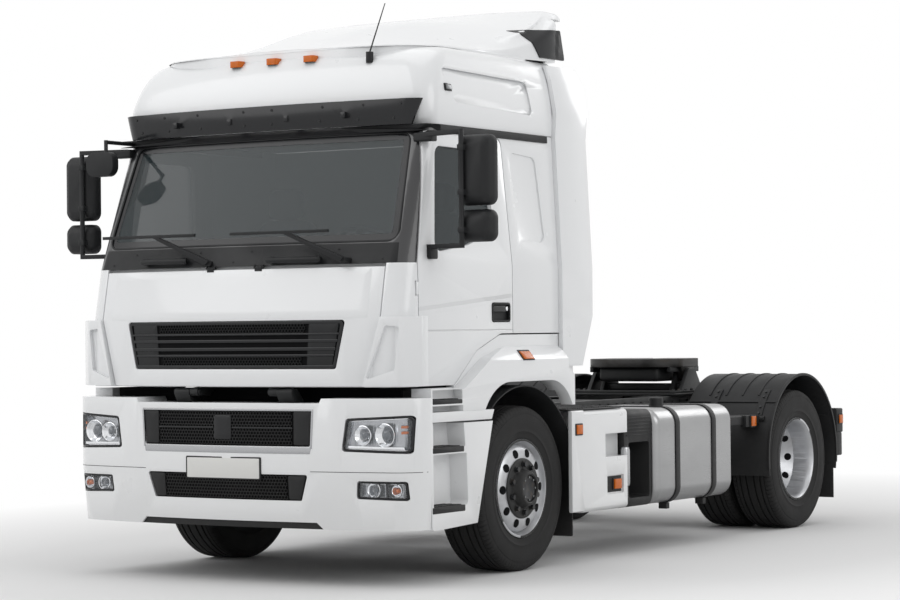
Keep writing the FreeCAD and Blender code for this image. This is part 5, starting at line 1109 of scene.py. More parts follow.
class TRACTOR_OT_panels(bpy.types.Operator):
    """Painted, cast and moulded pieces with rounded edges and their finishes"""

    bl_idname = "tractor.panels"
    bl_label = "Panels"

    def execute(self, context):
        made = {node: refine(node) for node in PANELS
                if not node.endswith(("front_wheel", "rear_wheels", "_mirrors"))}
        recolour(made["roof_fittings"], "amber_lens",
                 lambda middle: 3.062 < middle.z < 3.10 and abs(middle.x) < 0.34)
        recolour(made["fuel_tank"], "black_trim", lambda middle: middle.z > 0.932)
        recolour(made["front_flap"], "black_trim", self.is_knuckle)
        lay(front_place(cab_skin), "flap", (
            ("flap_skin", rect(-0.935, 1.537, 0.935, 1.823), 0.004, (-0.0007, 0.002),
             "white_paint", 0.0003, 0.05),))
        return {"FINISHED"}

    def is_knuckle(self, middle):
        """Whether a place on the front flap is on a hinge knuckle over its upper edge."""
        return middle.z > 1.828 or (
            middle.z > 1.80 and middle.y < cab_skin(middle.x, middle.z) - 0.0012)


class TRACTOR_OT_tyres(bpy.types.Operator):
    """Radial tyres with a ribbed tread, shoulder blocks and rings on the walls"""

    bl_idname = "tractor.tyres"
    bl_label = "Tyres"

    def execute(self, context):
        settings = context.scene.tractor
        for side, word in SIDES:
            steer = self.tyre(f"{word}_steer_tyre", (side * STEER_X, AXLE, WHEEL_Z),
                              f"front_{word}_wheel", settings)
            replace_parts(steer, f"{word}_front_tyre")
            pair = [self.tyre(f"{word}_drive_tyre", (side * x, REAR_AXLE, WHEEL_Z),
                              f"rear_{word}_wheels", settings) for x in TWIN_X]
            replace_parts(joined(f"{word}_drive_tyres", pair), f"{word}_rear_tyres")
        return {"FINISHED"}

    def tyre(self, name, centre, body, settings):
        """One tyre: a turned carcass with four grooves, and a ring of shoulder blocks."""
        ground = WHEEL_Z - settings.tread_depth
        half = [(0.0, 0.4998)]
        for groove in (0.030, 0.078):
            half += [(groove - 0.006, 0.4996), (groove - 0.004, ground),
                     (groove + 0.004, ground), (groove + 0.006, 0.4992)]
        half += [(0.1065, 0.4978), (0.1085, ground - 0.002), (0.136, 0.479), (0.1475, 0.467),
                 (0.1505, 0.452), (0.1512, 0.447), (0.1535, 0.445), (0.1565, 0.425),
                 (0.1574, 0.400), (0.1568, 0.372), (0.1548, 0.352), (0.1560, 0.349),
                 (0.1556, 0.344), (0.1530, 0.341), (0.1500, 0.328), (0.1440, 0.312),
                 (0.1440, 0.308), (0.1385, 0.300), (0.1345, 0.2935)]
        section = half + [(-x, r) for x, r in reversed(half) if x > 0]
        carcass = lathe(name + "_carcass", section, centre, "tyre_rubber", body, 120, 28.0)
        shoulder = [(0.111, ground - 0.006), (0.1115, 0.4974), (0.127, 0.4962),
                    (0.1385, 0.4895), (0.1460, 0.478), (0.1510, 0.462), (0.1512, 0.452),
                    (0.138, 0.462)]
        outlines = [shoulder, [(-x, r) for x, r in shoulder]]
        shoulder_radius, half_share = 0.49, 0.45
        pitch = 2 * math.pi * shoulder_radius / settings.tread_blocks
        blocks = round_axis(name + "_shoulders", centre, settings.tread_blocks,
                            blocks_form("shoulder", outlines, pitch * half_share),
                            "tyre_rubber", body)
        return joined(name, [carcass, blocks])


class TRACTOR_OT_wheels(bpy.types.Operator):
    """Dished silver wheels with dark hubs, wheel nuts and hub bolts"""

    bl_idname = "tractor.wheels"
    bl_label = "Wheels"

    def execute(self, context):
        for side, word in SIDES:
            node, body = f"{word}_front_wheel", f"front_{word}_wheel"
            self.wheel(node, body, side, AXLE, 0.186, 1.180, 0.146)
            self.hub(node, body, side)
            node, body = f"{word}_rear_wheels", f"rear_{word}_wheels"
            self.wheel(node, body, side, REAR_AXLE, 0.150, 0.9315, 0.1675)
            self.dish(node, body, side)
        return {"FINISHED"}

    def wheel(self, node, body, side, axle, dark, face, circle):
        """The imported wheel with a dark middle, and ten nuts on their washers."""
        recolour(refine(node), "frame_paint",
                 lambda middle: math.hypot(middle.y - axle, middle.z - WHEEL_Z) < dark)
        for part, radius, sides, height in (("nuts", 0.0165, 6, 0.022),
                                            ("washers", 0.0215, 16, 0.005)):
            form = round_form(part, radius, sides, 0.0, side * height, "X", 1.0, circle)
            round_axis(f"{node}_{part}", (side * face, axle, WHEEL_Z), NUTS, form, "hub_metal",
                       body, math.pi / NUTS)

    def hub(self, node, body, side):
        """The bulging disc with its hand holes, the dark flange and the hub's end."""
        centre = (0, AXLE, WHEEL_Z)
        disc = [(1.118, 0.268), (1.136, 0.264), (1.153, 0.250), (1.163, 0.234), (1.168, 0.214),
                (1.169, 0.190), (1.169, 0.110), (1.158, 0.110), (1.158, 0.190), (1.154, 0.212),
                (1.146, 0.232), (1.126, 0.250), (1.118, 0.256)]
        flange = [(1.166, 0.110), (1.166, 0.183), (1.175, 0.1825), (1.1795, 0.178),
                  (1.181, 0.172), (1.181, 0.122), (1.190, 0.116), (1.205, 0.110),
                  (1.220, 0.104), (1.2285, 0.096), (1.230, 0.088), (1.226, 0.082),
                  (1.190, 0.080)]
        for part, profile, finish_name, steps in (("disc", disc, "wheel_silver", 90),
                                                  ("flange", flange, "frame_paint", 80)):
            lathe(f"{node}_{part}", [(side * x, r) for x, r in profile], centre, finish_name,
                  body, steps)
        slope = math.radians(76)
        self.holes(node, body, side, centre, (-math.cos(slope), math.sin(slope)),
                   (math.sin(slope), math.cos(slope)), 0.026, -0.006, (1.1672, 0.2185))
        cap = [(1.200, 0.0), (1.200, 0.081), (1.213, 0.081), (1.217, 0.077), (1.218, 0.060),
               (1.214, 0.054), (1.214, 0.0)]
        turned(node + "_cap", [(side * x, r) for x, r in cap], centre, "hub_metal", body, "X",
               64)
        bolt = round_form("bolt", 0.0065, 6, -0.002, side * 0.006, "X", 1.0, 0.0685)
        round_axis(f"{node}_cap_bolts", (side * 1.2175, AXLE, WHEEL_Z), 8, bolt, "chrome_dark",
                   body)

    def dish(self, node, body, side):
        """The sloping outer disc of a twin wheel with its round hand holes."""
        centre = (0, REAR_AXLE, WHEEL_Z)
        cone = [(1.105, 0.266), (1.088, 0.258), (1.020, 0.196), (0.985, 0.170), (0.950, 0.156),
                (0.936, 0.150), (0.932, 0.156), (0.975, 0.178), (1.008, 0.202), (1.078, 0.264)]
        lathe(node + "_dish", [(side * x, r) for x, r in cone], centre, "wheel_silver", body,
              80)
        slope = math.atan2(0.068, 0.062)
        self.holes(node, body, side, centre, (math.sin(slope), math.cos(slope)), (0.67, -0.74),
                   0.027, -0.004, (1.054, 0.227))

    def holes(self, node, body, side, centre, along, out, radius, sunk, middle):
        """Dark discs of painted shade sunk into a sloping disc at its round openings; each pair is
        (across, away from the axis).
        """
        verts = [(side * (a * along[0] + lift * out[0] + middle[0]),
                  a * along[1] + lift * out[1] + middle[1], b)
                 for lift in (sunk, 0.0012) for a, b in circle_points(radius, 20)]
        # The discs are matte black painted shade where the openings would show the dark inside of
        # the wheel.
        round_axis(node + "_holes", centre, NUTS, form_from("hole", verts, prism_faces(20)),
                   "grille_dark", body)


class TRACTOR_OT_lamps(bpy.types.Operator):
    """Headlamps and fog lamps with gaskets, clear lenses and bright bowls"""

    bl_idname = "tractor.lamps"
    bl_label = "Lamps"

    def execute(self, context):
        place = front_place(bumper_skin)
        headlamp = ((0.804, 0.781, 0.028), (1.208, 0.769, 0.034), (1.218, 0.979, 0.034),
                    (0.832, 0.960, 0.028))
        fog_lamp = ((0.888, 0.513, 0.02), (1.186, 0.504, 0.026), (1.182, 0.606, 0.026),
                    (0.897, 0.607, 0.02))
        ledge = ((0.835, 0.795), (1.170, 0.787), (1.165, 0.803), (0.838, 0.809))
        for side, word in SIDES:
            self.unit(f"{word}_headlamp", rounded(headlamp, 0.0, side), place, 0.011)
            self.unit(f"{word}_fog_lamp", rounded(fog_lamp, 0.0, side), place, 0.010)
            for name, x, z, radius, glass in (
                    ("inner", 0.926, 0.868, 0.052, 0.022), ("outer", 1.060, 0.870, 0.062, 0.030),
                    ("fog", 0.985, 0.559, 0.040, 0.017), ("turn", 1.122, 0.557, 0.030, 0.0)):
                self.bowl(f"{word}_{name}_bowl", side * x, z, radius, glass)
            lay(place, "chassis", (
                ("{}_lamp_ledge", ledge, 0.0, (0.012, 0.050), "chrome"),
                ("{}_upper_blinker", self.blinker(0.908), 0.004, (0.016, 0.032), "amber_lens"),
                ("{}_lower_blinker", self.blinker(0.876), 0.004, (0.016, 0.032), "amber_lens"),
                ("{}_fog_divider", rect(1.062, 0.512, 1.076, 0.602), 0.0, (0.006, 0.050),
                 "gloss_black")), word, side)
            bulb = [(0.010, 0.0), (0.013, 0.009), (0.022, 0.013), (0.034, 0.012),
                    (0.045, 0.009), (0.045, 0.0)]
            turned(f"{word}_turn_bulb", bulb,
                   (side * 1.122, bumper_skin(1.122, 0.557) + 0.004, 0.557), "amber_lens",
                   "chassis", "Y", 24)
        return {"FINISHED"}

    def blinker(self, z):
        return ((1.150, z), (1.176, z + 0.001), (1.177, z + 0.016), (1.151, z + 0.015))

    def unit(self, name, outline, place, rim):
        """The parts that every lamp has: gasket, lens, walls and bright back."""
        laid_ring(name + "_gasket", outline, rim, place, (0.001, 0.030), "gloss_black",
                  "chassis", 0.003, 0.02)
        inner = shrunk(dense(outline, 0.03), rim - 0.004)
        clear = laid_panel(name + "_lens", inner, place, (0.005, 0.008), "lens", "chassis", 0.0,
                           0.022)
        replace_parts(clear, "front_lamps")
        laid_ring(name + "_walls", inner, 0.007, place, (0.026, 0.066), "chrome", "chassis",
                  0.0, 0.02)
        laid_panel(name + "_back", inner, place, (0.062, 0.068), "lamp_back", "chassis", 0.0,
                   0.03)

    def bowl(self, name, x, z, radius, glass):
        """A round bright reflector, with a projector lens where glass is its radius."""
        centre = (x, bumper_skin(x, z), z)
        profile = [(0.012, radius + 0.005), (0.0105, radius + 0.002), (0.013, radius),
                   (0.028, radius * 0.86), (0.042, radius * 0.6), (0.052, radius * 0.3),
                   (0.056, 0.0), (0.060, 0.0), (0.057, radius * 0.34), (0.046, radius * 0.66),
                   (0.030, radius * 0.92), (0.018, radius + 0.005), (0.012, radius + 0.005)]
        turned(name, profile, centre, "chrome", "chassis", "Y", 40)
        if glass:
            profile = [(0.020, 0.0), (0.021, glass * 0.5), (0.025, glass * 0.85),
                       (0.031, glass), (0.046, glass), (0.046, 0.0)]
            turned(name + "_projector", profile, centre, "projector_glass", "chassis", "Y", 32)


class TRACTOR_OT_grilles(bpy.types.Operator):
    """Honeycomb grilles with their bars, blanks, bright frame and plate"""

    bl_idname = "tractor.grilles"
    bl_label = "Grilles"

    def execute(self, context):
        bumper = front_place(bumper_skin)
        cab = front_place(cab_skin)
        for name, half, low, high, skin, depth, body in (
                ("middle_mesh", 0.486, 0.812, 1.000, bumper_skin, 0.003, "chassis"),
                ("low_mesh", 0.443, 0.500, 0.632, bumper_skin, 0.003, "chassis"),
                ("upper_mesh", 0.530, 1.456, 1.504, cab_skin, 0.001, "flap"),
                ("flap_low_mesh", 0.505, 1.264, 1.312, cab_skin, 0.001, "flap")):
            self.mesh(name, half, low, high, skin, depth, body)
        behind, blank, bright = (0.0105, 0.0117), (0.002, 0.0105), (FLUSH, 0.010)
        # The middle and low backings are matte black sheets of painted shade behind the grille
        # meshes.
        lay(bumper, "chassis", (
            ("middle_backing", rect(-0.60, 0.804, 0.60, 1.010), 0.0, behind, "grille_dark",
             0.0, 0.05),
            ("low_backing", rect(-0.53, 0.494, 0.53, 0.638), 0.0, behind, "grille_dark", 0.0,
             0.05),
            ("frame_top", flare(0.622, 1.005, 0.624, 1.016), 0.004, bright, "silver_trim",
             0.0008),
            ("frame_low", flare(0.600, 0.760, 0.606, 0.800), 0.004, bright, "silver_trim",
             0.0008),
            ("middle_block", rect(-0.062, 0.838, 0.062, 0.978), 0.012, bright, "gloss_black",
             0.003)))
        # The upper backing is a matte black sheet of painted shade behind the flap's grille.
        lay(cab, "flap", [
            ("upper_backing", rect(-0.72, 1.250, 0.72, 1.518), 0.0, (0.0095, 0.0107),
             "grille_dark", 0.0, 0.05)] + [
            (f"flap_{name}_bar", flare(half, low, half + 0.003, high), 0.004, (-0.002, 0.009),
             "gloss_black", 0.003) for name, half, low, high in (
                 ("top", 0.755, 1.440, 1.452), ("upper", 0.745, 1.398, 1.416),
                 ("middle", 0.73, 1.350, 1.370), ("lower", 0.72, 1.316, 1.330))])
        laid_ring("flap_grille_lip", rounded(flare(0.728, 1.247, 0.790, 1.523), 0.03), 0.020,
                  cab, (0.0005, 0.014), "gloss_black", "flap", 0.004, 0.03)
        for side, word in SIDES:
            lay(bumper, "chassis", (
                ("{}_middle_blank", ((0.492, 0.810), (0.592, 0.810), (0.607, 1.002),
                                     (0.492, 1.002)), 0.012, blank, "black_trim", 0.002),
                ("{}_low_blank", ((0.449, 0.498), (0.526, 0.498), (0.566, 0.634),
                                  (0.449, 0.634)), 0.012, blank, "black_trim", 0.002),
                ("middle_bar_{}", rect(0.068, 0.902, 0.486, 0.912), 0.002, (0.0, 0.010),
                 "gloss_black"),
                ("frame_{}", ((0.600, 0.790), (0.612, 0.790), (0.624, 1.012), (0.612, 1.012)),
                 0.003, (-0.003, 0.010), "silver_trim", 0.002)), word, side)
            lay(cab, "flap", (
                ("{}_upper_blank", ((0.540, 1.262), (0.706, 1.262), (0.752, 1.508),
                                    (0.556, 1.508)), 0.012, blank, "black_trim", 0.002),),
                word, side)
        # The blank number plate lies flat in its holder across the bowed bumper.
        lay(flat_place(CAD_BOX[0][1]), "chassis", (
            ("plate_holder", rect(-0.272, 0.606, 0.272, 0.738), 0.008, (0.0004, 0.010),
             "black_trim", 0.001),
            ("plate_blank", rect(-0.262, 0.614, 0.262, 0.730), 0.006, (FLUSH, 0.004),
             "plate_white", 0.0004)))
        return {"FINISHED"}

    def mesh(self, name, half, low, high, skin, depth, body):
        """A field of six-sided rings on a bowed face."""
        pitch, deep, opening = 0.021, 0.009, 0.80
        radius = pitch / math.sqrt(3)
        rows = max(1, round((high - low) / (1.5 * radius)))
        step = (high - low) / rows
        places = []
        for row in range(rows):
            z = low + step * (row + 0.5)
            shift = pitch / 2 if row % 2 else 0.0
            for index in range(int((2 * half - pitch) / pitch) + 1):
                x = -half + pitch / 2 + shift + index * pitch
                if x < half - pitch / 3:
                    places.append((x, skin(x, z, depth), z))
        verts = [(x, y, z) for y in (0.0, deep) for size in (radius, radius * opening)
                 for x, z in circle_points(size, 6, math.pi / 6)]
        faces = [(a + index, a + (index + 1) % 6, b + (index + 1) % 6, b + index)
                 for index in range(6) for a, b in ((0, 6), (6, 18), (18, 12), (12, 0))]
        on_points(name, places, form_from("cell", verts, faces), "mesh_black", body)


class TRACTOR_OT_front_trim(bpy.types.Operator):
    """Screen surround, visor screws, cowl handles and a black sheet of painted shade in the gap
    over the bumper
    """

    bl_idname = "tractor.front_trim"
    bl_label = "Front Trim"

    def execute(self, context):
        cab = front_place(cab_skin)
        screen = rounded(flare(1.066, 1.969, 1.008, 2.610), 0.07, 1, 8)
        laid_ring("screen_border", screen, 0.046, cab, (0.0066, 0.0076), "gloss_black", "cab",
                  0.0, 0.02)
        laid_ring("screen_seal", screen, 0.010, cab, (-0.001, 0.008), "black_trim", "cab",
                  0.002, 0.02)
        self.handle("far_cowl_handle", -0.712, -0.354, 1.885)
        self.handle("near_cowl_handle", 0.250, 0.607, 1.875)
        visor = tree_of("sun_visor")
        places = []
        for z, share in ((2.772, 1.05), (2.690, 1.0)):
            for x in (-0.93, -0.70, -0.44, -0.10, 0.10, 0.44, 0.70, 0.93):
                start = Vector((x * share, AXLE - 3.0, z))
                hit = visor.ray_cast(start, Vector((0, 1, 0)))[0] or visor.find_nearest(start)[0]
                places.append((x * share, hit.y, z))
        on_points("visor_screws", places, round_form("screw", 0.009, 12, 0.001, -0.004, "Y", 0.8),
                  "mesh_black", "cab")
        on_points("cowl_screws", [(x, cab_skin(x, z) - 0.0005, z) for x, z in (
            (-0.98, 1.87), (-0.80, 1.93), (-0.28, 1.93), (-0.02, 1.87), (0.10, 1.93),
            (0.70, 1.93), (0.99, 1.87))], round_form("screw", 0.007, 10, 0.002, -0.002, "Y", 0.8),
            "mesh_black", "cab")
        self.roof_lip()
        # A matte black sheet of painted shade fills the gap between the cab and the bumper.
        block("gap_screen", (-1.04, -1.106, 0.965), (1.04, -1.096, 1.130), "grille_dark",
              "chassis", 0.002)
        return {"FINISHED"}

    def roof_lip(self):
        """The painted edge that closes the spoiler's front down onto the roof."""
        spoiler = tree_of("roof_spoiler")
        roof = tree_of("high_roof")
        half, parts, thick = 1.02, 120, 0.011
        top, highest_foot, usual_foot, sunk = 3.138, 3.131, 3.10, 0.004
        rings = []
        for index in range(parts + 1):
            x = -half + 2 * half * index / parts
            front = spoiler.ray_cast(Vector((x, AXLE - 3, top - 0.002)), Vector((0, 1, 0)))[0]
            if front is None:
                continue
            foot = roof.ray_cast(Vector((x, front.y + sunk, 3.6)), Vector((0, 0, -1)))[0]
            low = min(foot.z if foot else usual_foot, highest_foot) - sunk
            near = front.y + 0.001
            far = near + thick
            rings.append([(x, near, low), (x, near, top), (x, far, top), (x, far, low)])
        beam("roof_lip", rings, "white_paint", "cab", 0.0, 40.0)

    def handle(self, name, left, right, z):
        """A thick rounded grip on two feet."""
        def at(x, lift):
            return (x, cab_skin(x, z) - lift, z)
        grip = [at(left, 0.030), at(left + 0.02, 0.040), at((left + right) / 2, 0.044),
                at(right - 0.02, 0.040), at(right, 0.030)]
        joined(name, [tube(name + "_grip", grip, 0.017)] + [
            tube(name + "_foot", [at(x, -0.004), at(x, 0.036)], 0.021)
            for x in (left + 0.03, right - 0.03)])


class TRACTOR_OT_cab_sides(bpy.types.Operator):
    """Door handles, drip mouldings, spoiler inserts, side lamps, mirrors and lower skirts"""

    bl_idname = "tractor.cab_sides"
    bl_label = "Cab Sides"

    def execute(self, context):
        gutter = ((-0.965, 2.6085, 0.01), (0.409, 2.6085), (0.409, 2.650), (-0.965, 2.650))
        insert = ((0.372, 3.325), (0.470, 3.150), (0.745, 3.150), (0.715, 3.340))
        skirt = ((-1.097, 0.934), (-0.440, 0.934), (-0.412, 0.992), (-1.097, 0.992))
        for side, word in SIDES:
            self.door_handle(side, word)
            lay(cast_place("cab_frame", side), "cab", (
                ("{}_drip_moulding", gutter, 0.004, (-0.011, 0.003), "black_trim", 0.003,
                 0.08),), word)
            lay(cast_place("roof_spoiler", side), "cab", (
                ("{}_spoiler_insert", insert, 0.012, (-0.009, 0.004), "gloss_black", 0.0,
                 0.016),), word)
            marker(f"{word}_roof_lamp", cast_place("high_roof", side), -0.745, 2.855, -0.655,
                   2.899, "cab", "chrome_dark", 0.016)
            marker(f"{word}_arch_lamp", cast_place("cab_arches", side), -0.080, 1.274, 0.055,
                   1.336, "cab")
            refine(f"{word}_mirrors")
            lay(flat_place(AXLE - 0.904, -1), f"{word}_door", [
                (f"{{}}_{part}_mirror_glass", rect(1.354, low, 1.561, high), 0.035,
                 (0.0, 0.005), "mirror_glass", 0.0015, 0.1)
                for part, low, high in (("main", 2.182, 2.555), ("wide", 1.974, 2.129))],
                word, side)
            # The painted edge closes the cab's lower step over the box below.
            lay(side_place(1.2335, side), "cab", (
                ("{}_step_skirt", skirt, 0.0, (0.0, 0.030), "white_paint", 0.004),), word)
            lay(flat_place(AXLE - 1.096), "cab", (
                ("{}_step_end", rect(1.06, 0.934, 1.233, 0.992), 0.0, (0.0, 0.02),
                 "white_paint", 0.003),), word, side)
            for part, inner, front, rear, low, high, body in (
                    ("upper", 1.120, -1.086, -0.770, 1.030, 1.0615, "cab"),
                    ("middle", 1.085, -1.090, -0.757, 0.752, 0.7905, "chassis"),
                    ("lower", 1.085, -1.097, -0.750, 0.409, 0.4515, "chassis")):
                self.tread(f"{word}_{part}_tread", side, inner, front, rear, low, high, body)
        return {"FINISHED"}

    def door_handle(self, side, word):
        place = side_place(1.160, side)
        body = f"{word}_door"
        cup = rect(-0.308, 1.507, -0.100, 1.618)
        laid_ring(f"{word}_handle_rim", rounded(cup, 0.02), 0.010, place, (-0.003, 0.020),
                  "black_trim", body, 0.002, 0.05)
        lay(place, body, (
            ("{}_handle_cup", cup, 0.02, (0.0185, 0.0215), "black_trim", 0.0),
            ("{}_handle_grip", rect(-0.296, 1.566, -0.150, 1.602), 0.01, (-0.002, 0.012),
             "gloss_black", 0.004)), word)
        lock = [(1.1395, 0.0), (1.1395, 0.014), (1.155, 0.014), (1.157, 0.011), (1.157, 0.0)]
        turned(f"{word}_door_lock", [(side * x, r) for x, r in lock],
               (0, AXLE - 0.126, 1.585), "chrome", body, "X", 24)

    def tread(self, name, side, inner, front, rear, low, high, body):
        """A moulded step with rows of grips across it."""
        step = ((front, low + 0.006, 0.008), (rear, low + 0.006, 0.008), (rear, high, 0.006),
                (front, high, 0.006))
        lay(side_place(STEP_FACE, side), body, (
            (name, step, 0.0, (0.0, STEP_FACE - inner), "black_trim", 0.003, 0.5),))
        pitch = 0.0165
        places = [(side * x, AXLE + front + 0.022 + index * pitch + shift, high)
                  for x, shift in ((inner + 0.030, 0.0), (inner + 0.068, 0.008),
                                   (inner + 0.106, 0.0), (1.215, 0.008))
                  if x < 1.22
                  for index in range(int((rear - front - 0.05) / pitch))]
        on_points(name + "_grips", places, lying_bar("grip", 0.016, 0.013, 0.005, 0.0035),
                  "mesh_black", body)


class TRACTOR_OT_chassis_sides(bpy.types.Operator):
    """Side lamps, rail bolts, a bright canister, mudguard ribs and brackets, tail lamps, bolts and
    coupling parts
    """

    bl_idname = "tractor.chassis_sides"
    bl_label = "Chassis Sides"

    def execute(self, context):
        for side, word in SIDES:
            self.box(side, word)
            self.mudguard(side, word)
            self.tail(side, word)
            lay(front_place(bumper_skin), "chassis", (
                ("{}_bumper_seam", rect(0.600, 0.6585, 1.2485, 0.6615), 0.0, (-0.0006, 0.002),
                 "grille_dark", 0.0, 0.012),), word, side)
            rail = [(side * 0.4305, AXLE + 0.86 + 0.12 * index, z)
                    for z in (0.925, 0.725) for index in range(30)]
            on_points(f"{word}_rail_bolts", rail,
                      round_form("bolt", 0.011, 6, -0.002 * side, 0.008 * side, "X", 0.9),
                      "frame_paint", "chassis")
        self.service_side()
        self.coupling()
        return {"FINISHED"}

    def box(self, side, word):
        """A side box's lamps and its ribbed deck."""
        marker(f"{word}_box_lamp", side_place(BOX_FACE, side), 0.540, 0.796, 0.629, 0.870,
               "chassis")
        recess = side_place(1.217, side)
        lay(recess, "chassis", (
            ("{}_recess_case", rect(0.950, 0.418, 1.156, 0.520), 0.006, (-0.002, 0.003),
             "black_trim"),), word)
        marker(f"{word}_recess_lamp", recess, 1.036, 0.430, 1.142, 0.508, "chassis",
               "amber_lens", 0.020)
        lay(top_place(0.950), "chassis", (
            ("{}_box_deck", rect(0.56, 0.53, 1.205, 1.20), 0.02, (-0.007, 0.001), "black_trim",
             0.002, 0.5),), word, side)
        on_points(f"{word}_deck_ribs", [(side * 0.8825, AXLE + 0.565 + 0.03 * index, 0.957)
                                        for index in range(21)],
                  lying_bar("rib", 0.28, 0.278, 0.004, 0.006), "black_trim", "chassis")

    def service_side(self):
        """The bright canister and ribs of the service unit, and the feet of the tank straps."""
        turned("bright_canister", [(0.437, 0.0), (0.4385, 0.016), (0.446, 0.027),
                                   (0.462, 0.032), (0.676, 0.032), (0.692, 0.027),
                                   (0.6995, 0.016), (0.701, 0.0)],
               (1.196, AXLE + 1.250, 0), "silver_trim", "chassis", "Z", 40)
        for index in range(6):
            z = 0.872 - 0.022 * index
            block(f"unit_rib_{index}", (1.190, 1.27, z), (1.199, 1.60, z + 0.009), "black_trim",
                  "chassis", 0.002)
        for station in (1.906, 2.438):
            for name, low, high in (("lug", 0.268, 0.296), ("tie", 0.255, 0.272)):
                block(f"strap_{name}_{int(station * 1000)}", (1.10, station - 0.022, low),
                      (1.16, station + 0.022, high), "black_trim", "chassis", 0.003)

    def mudguard(self, side, word):
        """Ribs, lip, joints and straps of a rear mudguard, and the lamp on its arm."""
        for index, x in enumerate((0.70, 0.83, 0.96, 1.09)):
            arc_band(f"{word}_guard_rib_{index}", side * x, side * (x + 0.014), 0.583, 0.5905,
                     44, 132)
        arc_band(f"{word}_guard_lip", side * 1.252, side * 1.266, 0.573, 0.591, -8, 188, 90)
        for name, turn in (("front", 138.0), ("rear", 40.0)):
            arc_band(f"{word}_guard_{name}_joint", side * 0.562, side * 1.262, 0.584, 0.5925,
                     turn - 0.7, turn + 0.7, 2)
        turns = [math.radians(angle) for angle in (129, 134, 143, 148)]
        for index, x in enumerate((0.74, 1.12)):
            arc_band(f"{word}_guard_strap_{index}", side * x, side * (x + 0.055), 0.584, 0.5935,
                     126, 151, 10)
            on_points(f"{word}_guard_bolts_{index}",
                      [(side * (x + 0.0275), GUARD_Y + 0.593 * math.cos(turn),
                        GUARD_Z + 0.593 * math.sin(turn)) for turn in turns],
                      round_form("guard_bolt", 0.010, 6, -0.002, 0.008, "Y", 0.9),
                      "hub_metal", "chassis", [(turn, 0, 0) for turn in turns])
        block(f"{word}_guard_arm", (1.02, 2.76, 0.770), (1.17, 3.30, 0.832), "black_trim",
              "chassis", 0.006, side)
        marker(f"{word}_guard_lamp", side_place(1.20, side), 3.085, 0.752, 3.170, 0.838,
               "chassis")
        block(f"{word}_guard_lamp_foot", (1.15, 3.03, 0.755), (1.196, 3.17, 0.836),
              "black_trim", "chassis", 0.004, side)

    def tail(self, side, word):
        """The three lenses of a tail lamp and the marker on its side."""
        lay(flat_place(AXLE + 4.620, -1), "chassis", [
            (f"{{}}_tail_{name}", rect(left, 0.672, right, 0.829), 0.01, (FLUSH, 0.004),
             finish_name, 0.0008) for name, left, right, finish_name in (
                 ("stop", 0.872, 0.990, "red_lens"), ("turn", 0.996, 1.100, "amber_lens"),
                 ("outer", 1.106, 1.214, "red_lens"))], word, side)
        marker(f"{word}_tail_side", side_place(1.225, side), 4.535, 0.722, 4.612, 0.800,
               "chassis")

    def coupling(self):
        """The bed under the coupling with its ribs and bolts, and the core of its plate."""
        for name, low, high, body, edge in (
                ("coupling_bed", (-0.47, 3.36, 0.964), (0.47, 4.16, 0.978), "chassis", 0.004),
                ("bed_edge_far", (-0.44, 3.38, 0.976), (-0.41, 4.14, 0.996), "chassis", 0.003),
                ("bed_edge_near", (0.41, 3.38, 0.976), (0.44, 4.14, 0.996), "chassis", 0.003),
                ("bed_rib_front", (-0.41, 3.42, 0.976), (0.41, 3.47, 1.000), "chassis", 0.006),
                ("bed_rib_middle", (-0.41, 3.735, 0.976), (0.41, 3.785, 1.000), "chassis",
                 0.006),
                ("bed_rib_back", (-0.41, 4.05, 0.976), (0.41, 4.10, 1.000), "chassis", 0.006),
                ("coupling_core", (-0.25, 3.50, 1.062), (0.25, 3.98, 1.172), "fifth_wheel",
                 0.03),
                ("coupling_rib_far", (-0.34, 3.53, 1.130), (-0.31, 3.99, 1.172), "fifth_wheel",
                 0.006),
                ("coupling_rib_near", (0.31, 3.53, 1.130), (0.34, 3.99, 1.172), "fifth_wheel",
                 0.006),
                ("coupling_beam", (-0.33, 3.69, 0.996), (0.33, 3.83, 1.044), "chassis",
                 0.008)):
            block(name, low, high, "frame_paint", body, edge)
        on_points("bed_bolts", [(x, AXLE + y, 0.996) for x in (-0.425, 0.425)
                                for y in (3.41, 3.50, 3.60, 3.70, 3.82, 3.92, 4.02, 4.11)],
                  round_form("bolt", 0.014, 6, -0.002, 0.013, "Z", 0.9), "hub_metal", "chassis")


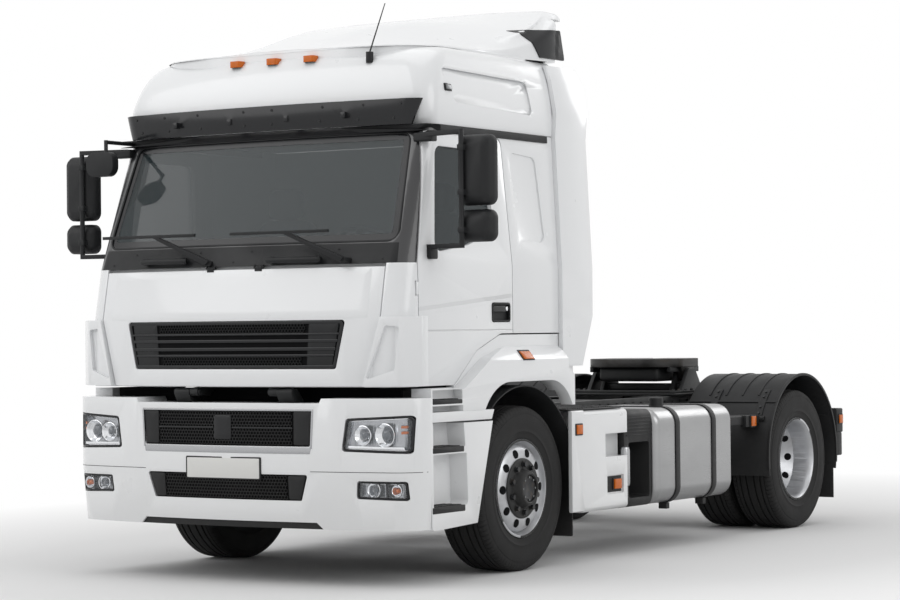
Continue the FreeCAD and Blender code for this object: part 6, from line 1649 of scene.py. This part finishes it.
class TRACTOR_OT_cushions(bpy.types.Operator):
    """Seats and bunk as crowned cushions with sewn channels on hard bases"""

    bl_idname = "tractor.cushions"
    bl_label = "Cushions"

    def execute(self, context):
        sewn = (-0.13, 0.13)
        for side, word in SIDES:
            for part, station, z, half, lean, channels in (
                    ("seat_cushion", -0.325, 1.572, (0.236, 0.190, 0.078), 0.0, sewn),
                    ("seat_back", -0.035, 1.895, (0.236, 0.062, 0.285), -0.245, sewn),
                    ("head_rest", 0.006, 2.272, (0.128, 0.042, 0.096), -0.10, ())):
                self.cushion(f"{word}_{part}", (side * SEAT_X, AXLE + station, z), half, lean,
                             channels, "seats")
            block(f"{word}_seat_base", (SEAT_X - 0.21, -0.47, 1.204),
                  (SEAT_X + 0.21, -0.08, 1.500), "interior", "cab", 0.02, side)
        self.cushion("bunk_mattress", (0.0, AXLE + 0.352, 1.600), (1.070, 0.198, 0.078), 0.0,
                     (-0.72, -0.36, 0.0, 0.36, 0.72), "bunk")
        block("bunk_base", (-1.075, 0.155, 1.204), (1.075, 0.550, 1.525), "interior", "cab",
              0.02)
        return {"FINISHED"}

    def cushion(self, name, centre, half, lean, channels, node):
        """A crowned closed cushion whose sides pull in, with channels sewn along it."""
        squareness, crown = 4.5, 0.12
        seam_width, seam_depth, wall = 0.012, 0.014, 0.02
        work = bmesh.new()
        bmesh.ops.create_cube(work, size=2.0)
        bmesh.ops.subdivide_edges(work, edges=work.edges, cuts=19, use_grid_fill=True)
        thin = min(range(3), key=lambda axis: half[axis])
        turn = Matrix.Rotation(lean, 4, "X")
        for vert in work.verts:
            way = Vector([abs(value) ** squareness for value in vert.co])
            vert.co /= (way.x + way.y + way.z) ** (1 / squareness)
            rise = crown * (1 - vert.co[(thin + 1) % 3] ** 2) * (1 - vert.co[(thin + 2) % 3] ** 2)
            vert.co[thin] *= 1 - crown + rise
            place = Vector([vert.co[axis] * half[axis] for axis in range(3)])
            for line in channels:
                dip = math.exp(-((place.x - line) / seam_width) ** 2) * seam_depth
                if abs(place[thin]) > wall:
                    place[thin] -= math.copysign(dip, place[thin])
            vert.co = Vector(centre) + turn @ place
        bmesh.ops.recalc_face_normals(work, faces=work.faces)
        made = from_bmesh(name, work, "seat_cloth", "cab", 0.0, 80.0)
        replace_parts(made, node)


OPERATORS = (TRACTOR_OT_stage, TRACTOR_OT_panels, TRACTOR_OT_tyres, TRACTOR_OT_wheels,
             TRACTOR_OT_lamps, TRACTOR_OT_grilles, TRACTOR_OT_front_trim, TRACTOR_OT_cab_sides,
             TRACTOR_OT_chassis_sides, TRACTOR_OT_cushions)


class TRACTOR_PT_panel(bpy.types.Panel):
    """Lists the settings and the operators"""

    bl_idname = "TRACTOR_PT_panel"
    bl_label = "Tractor Unit"
    bl_space_type = "VIEW_3D"
    bl_region_type = "UI"
    bl_category = "Tractor"

    def draw(self, context):
        for name in TRACTOR_PG_settings.__annotations__:
            self.layout.prop(context.scene.tractor, name)
        for operator in OPERATORS:
            self.layout.operator(operator.bl_idname)


CLASSES = (TRACTOR_PG_settings, *OPERATORS, TRACTOR_PT_panel)


def register():
    for item in CLASSES:
        bpy.utils.register_class(item)
    bpy.types.Scene.tractor = PointerProperty(type=TRACTOR_PG_settings)


def unregister():
    del bpy.types.Scene.tractor
    for item in reversed(CLASSES):
        bpy.utils.unregister_class(item)


def main():
    """Makes everything in order."""
    register()
    for operator in OPERATORS:
        getattr(bpy.ops.tractor, operator.bl_idname.split(".")[1])()


if __name__ == "__main__":
    main()
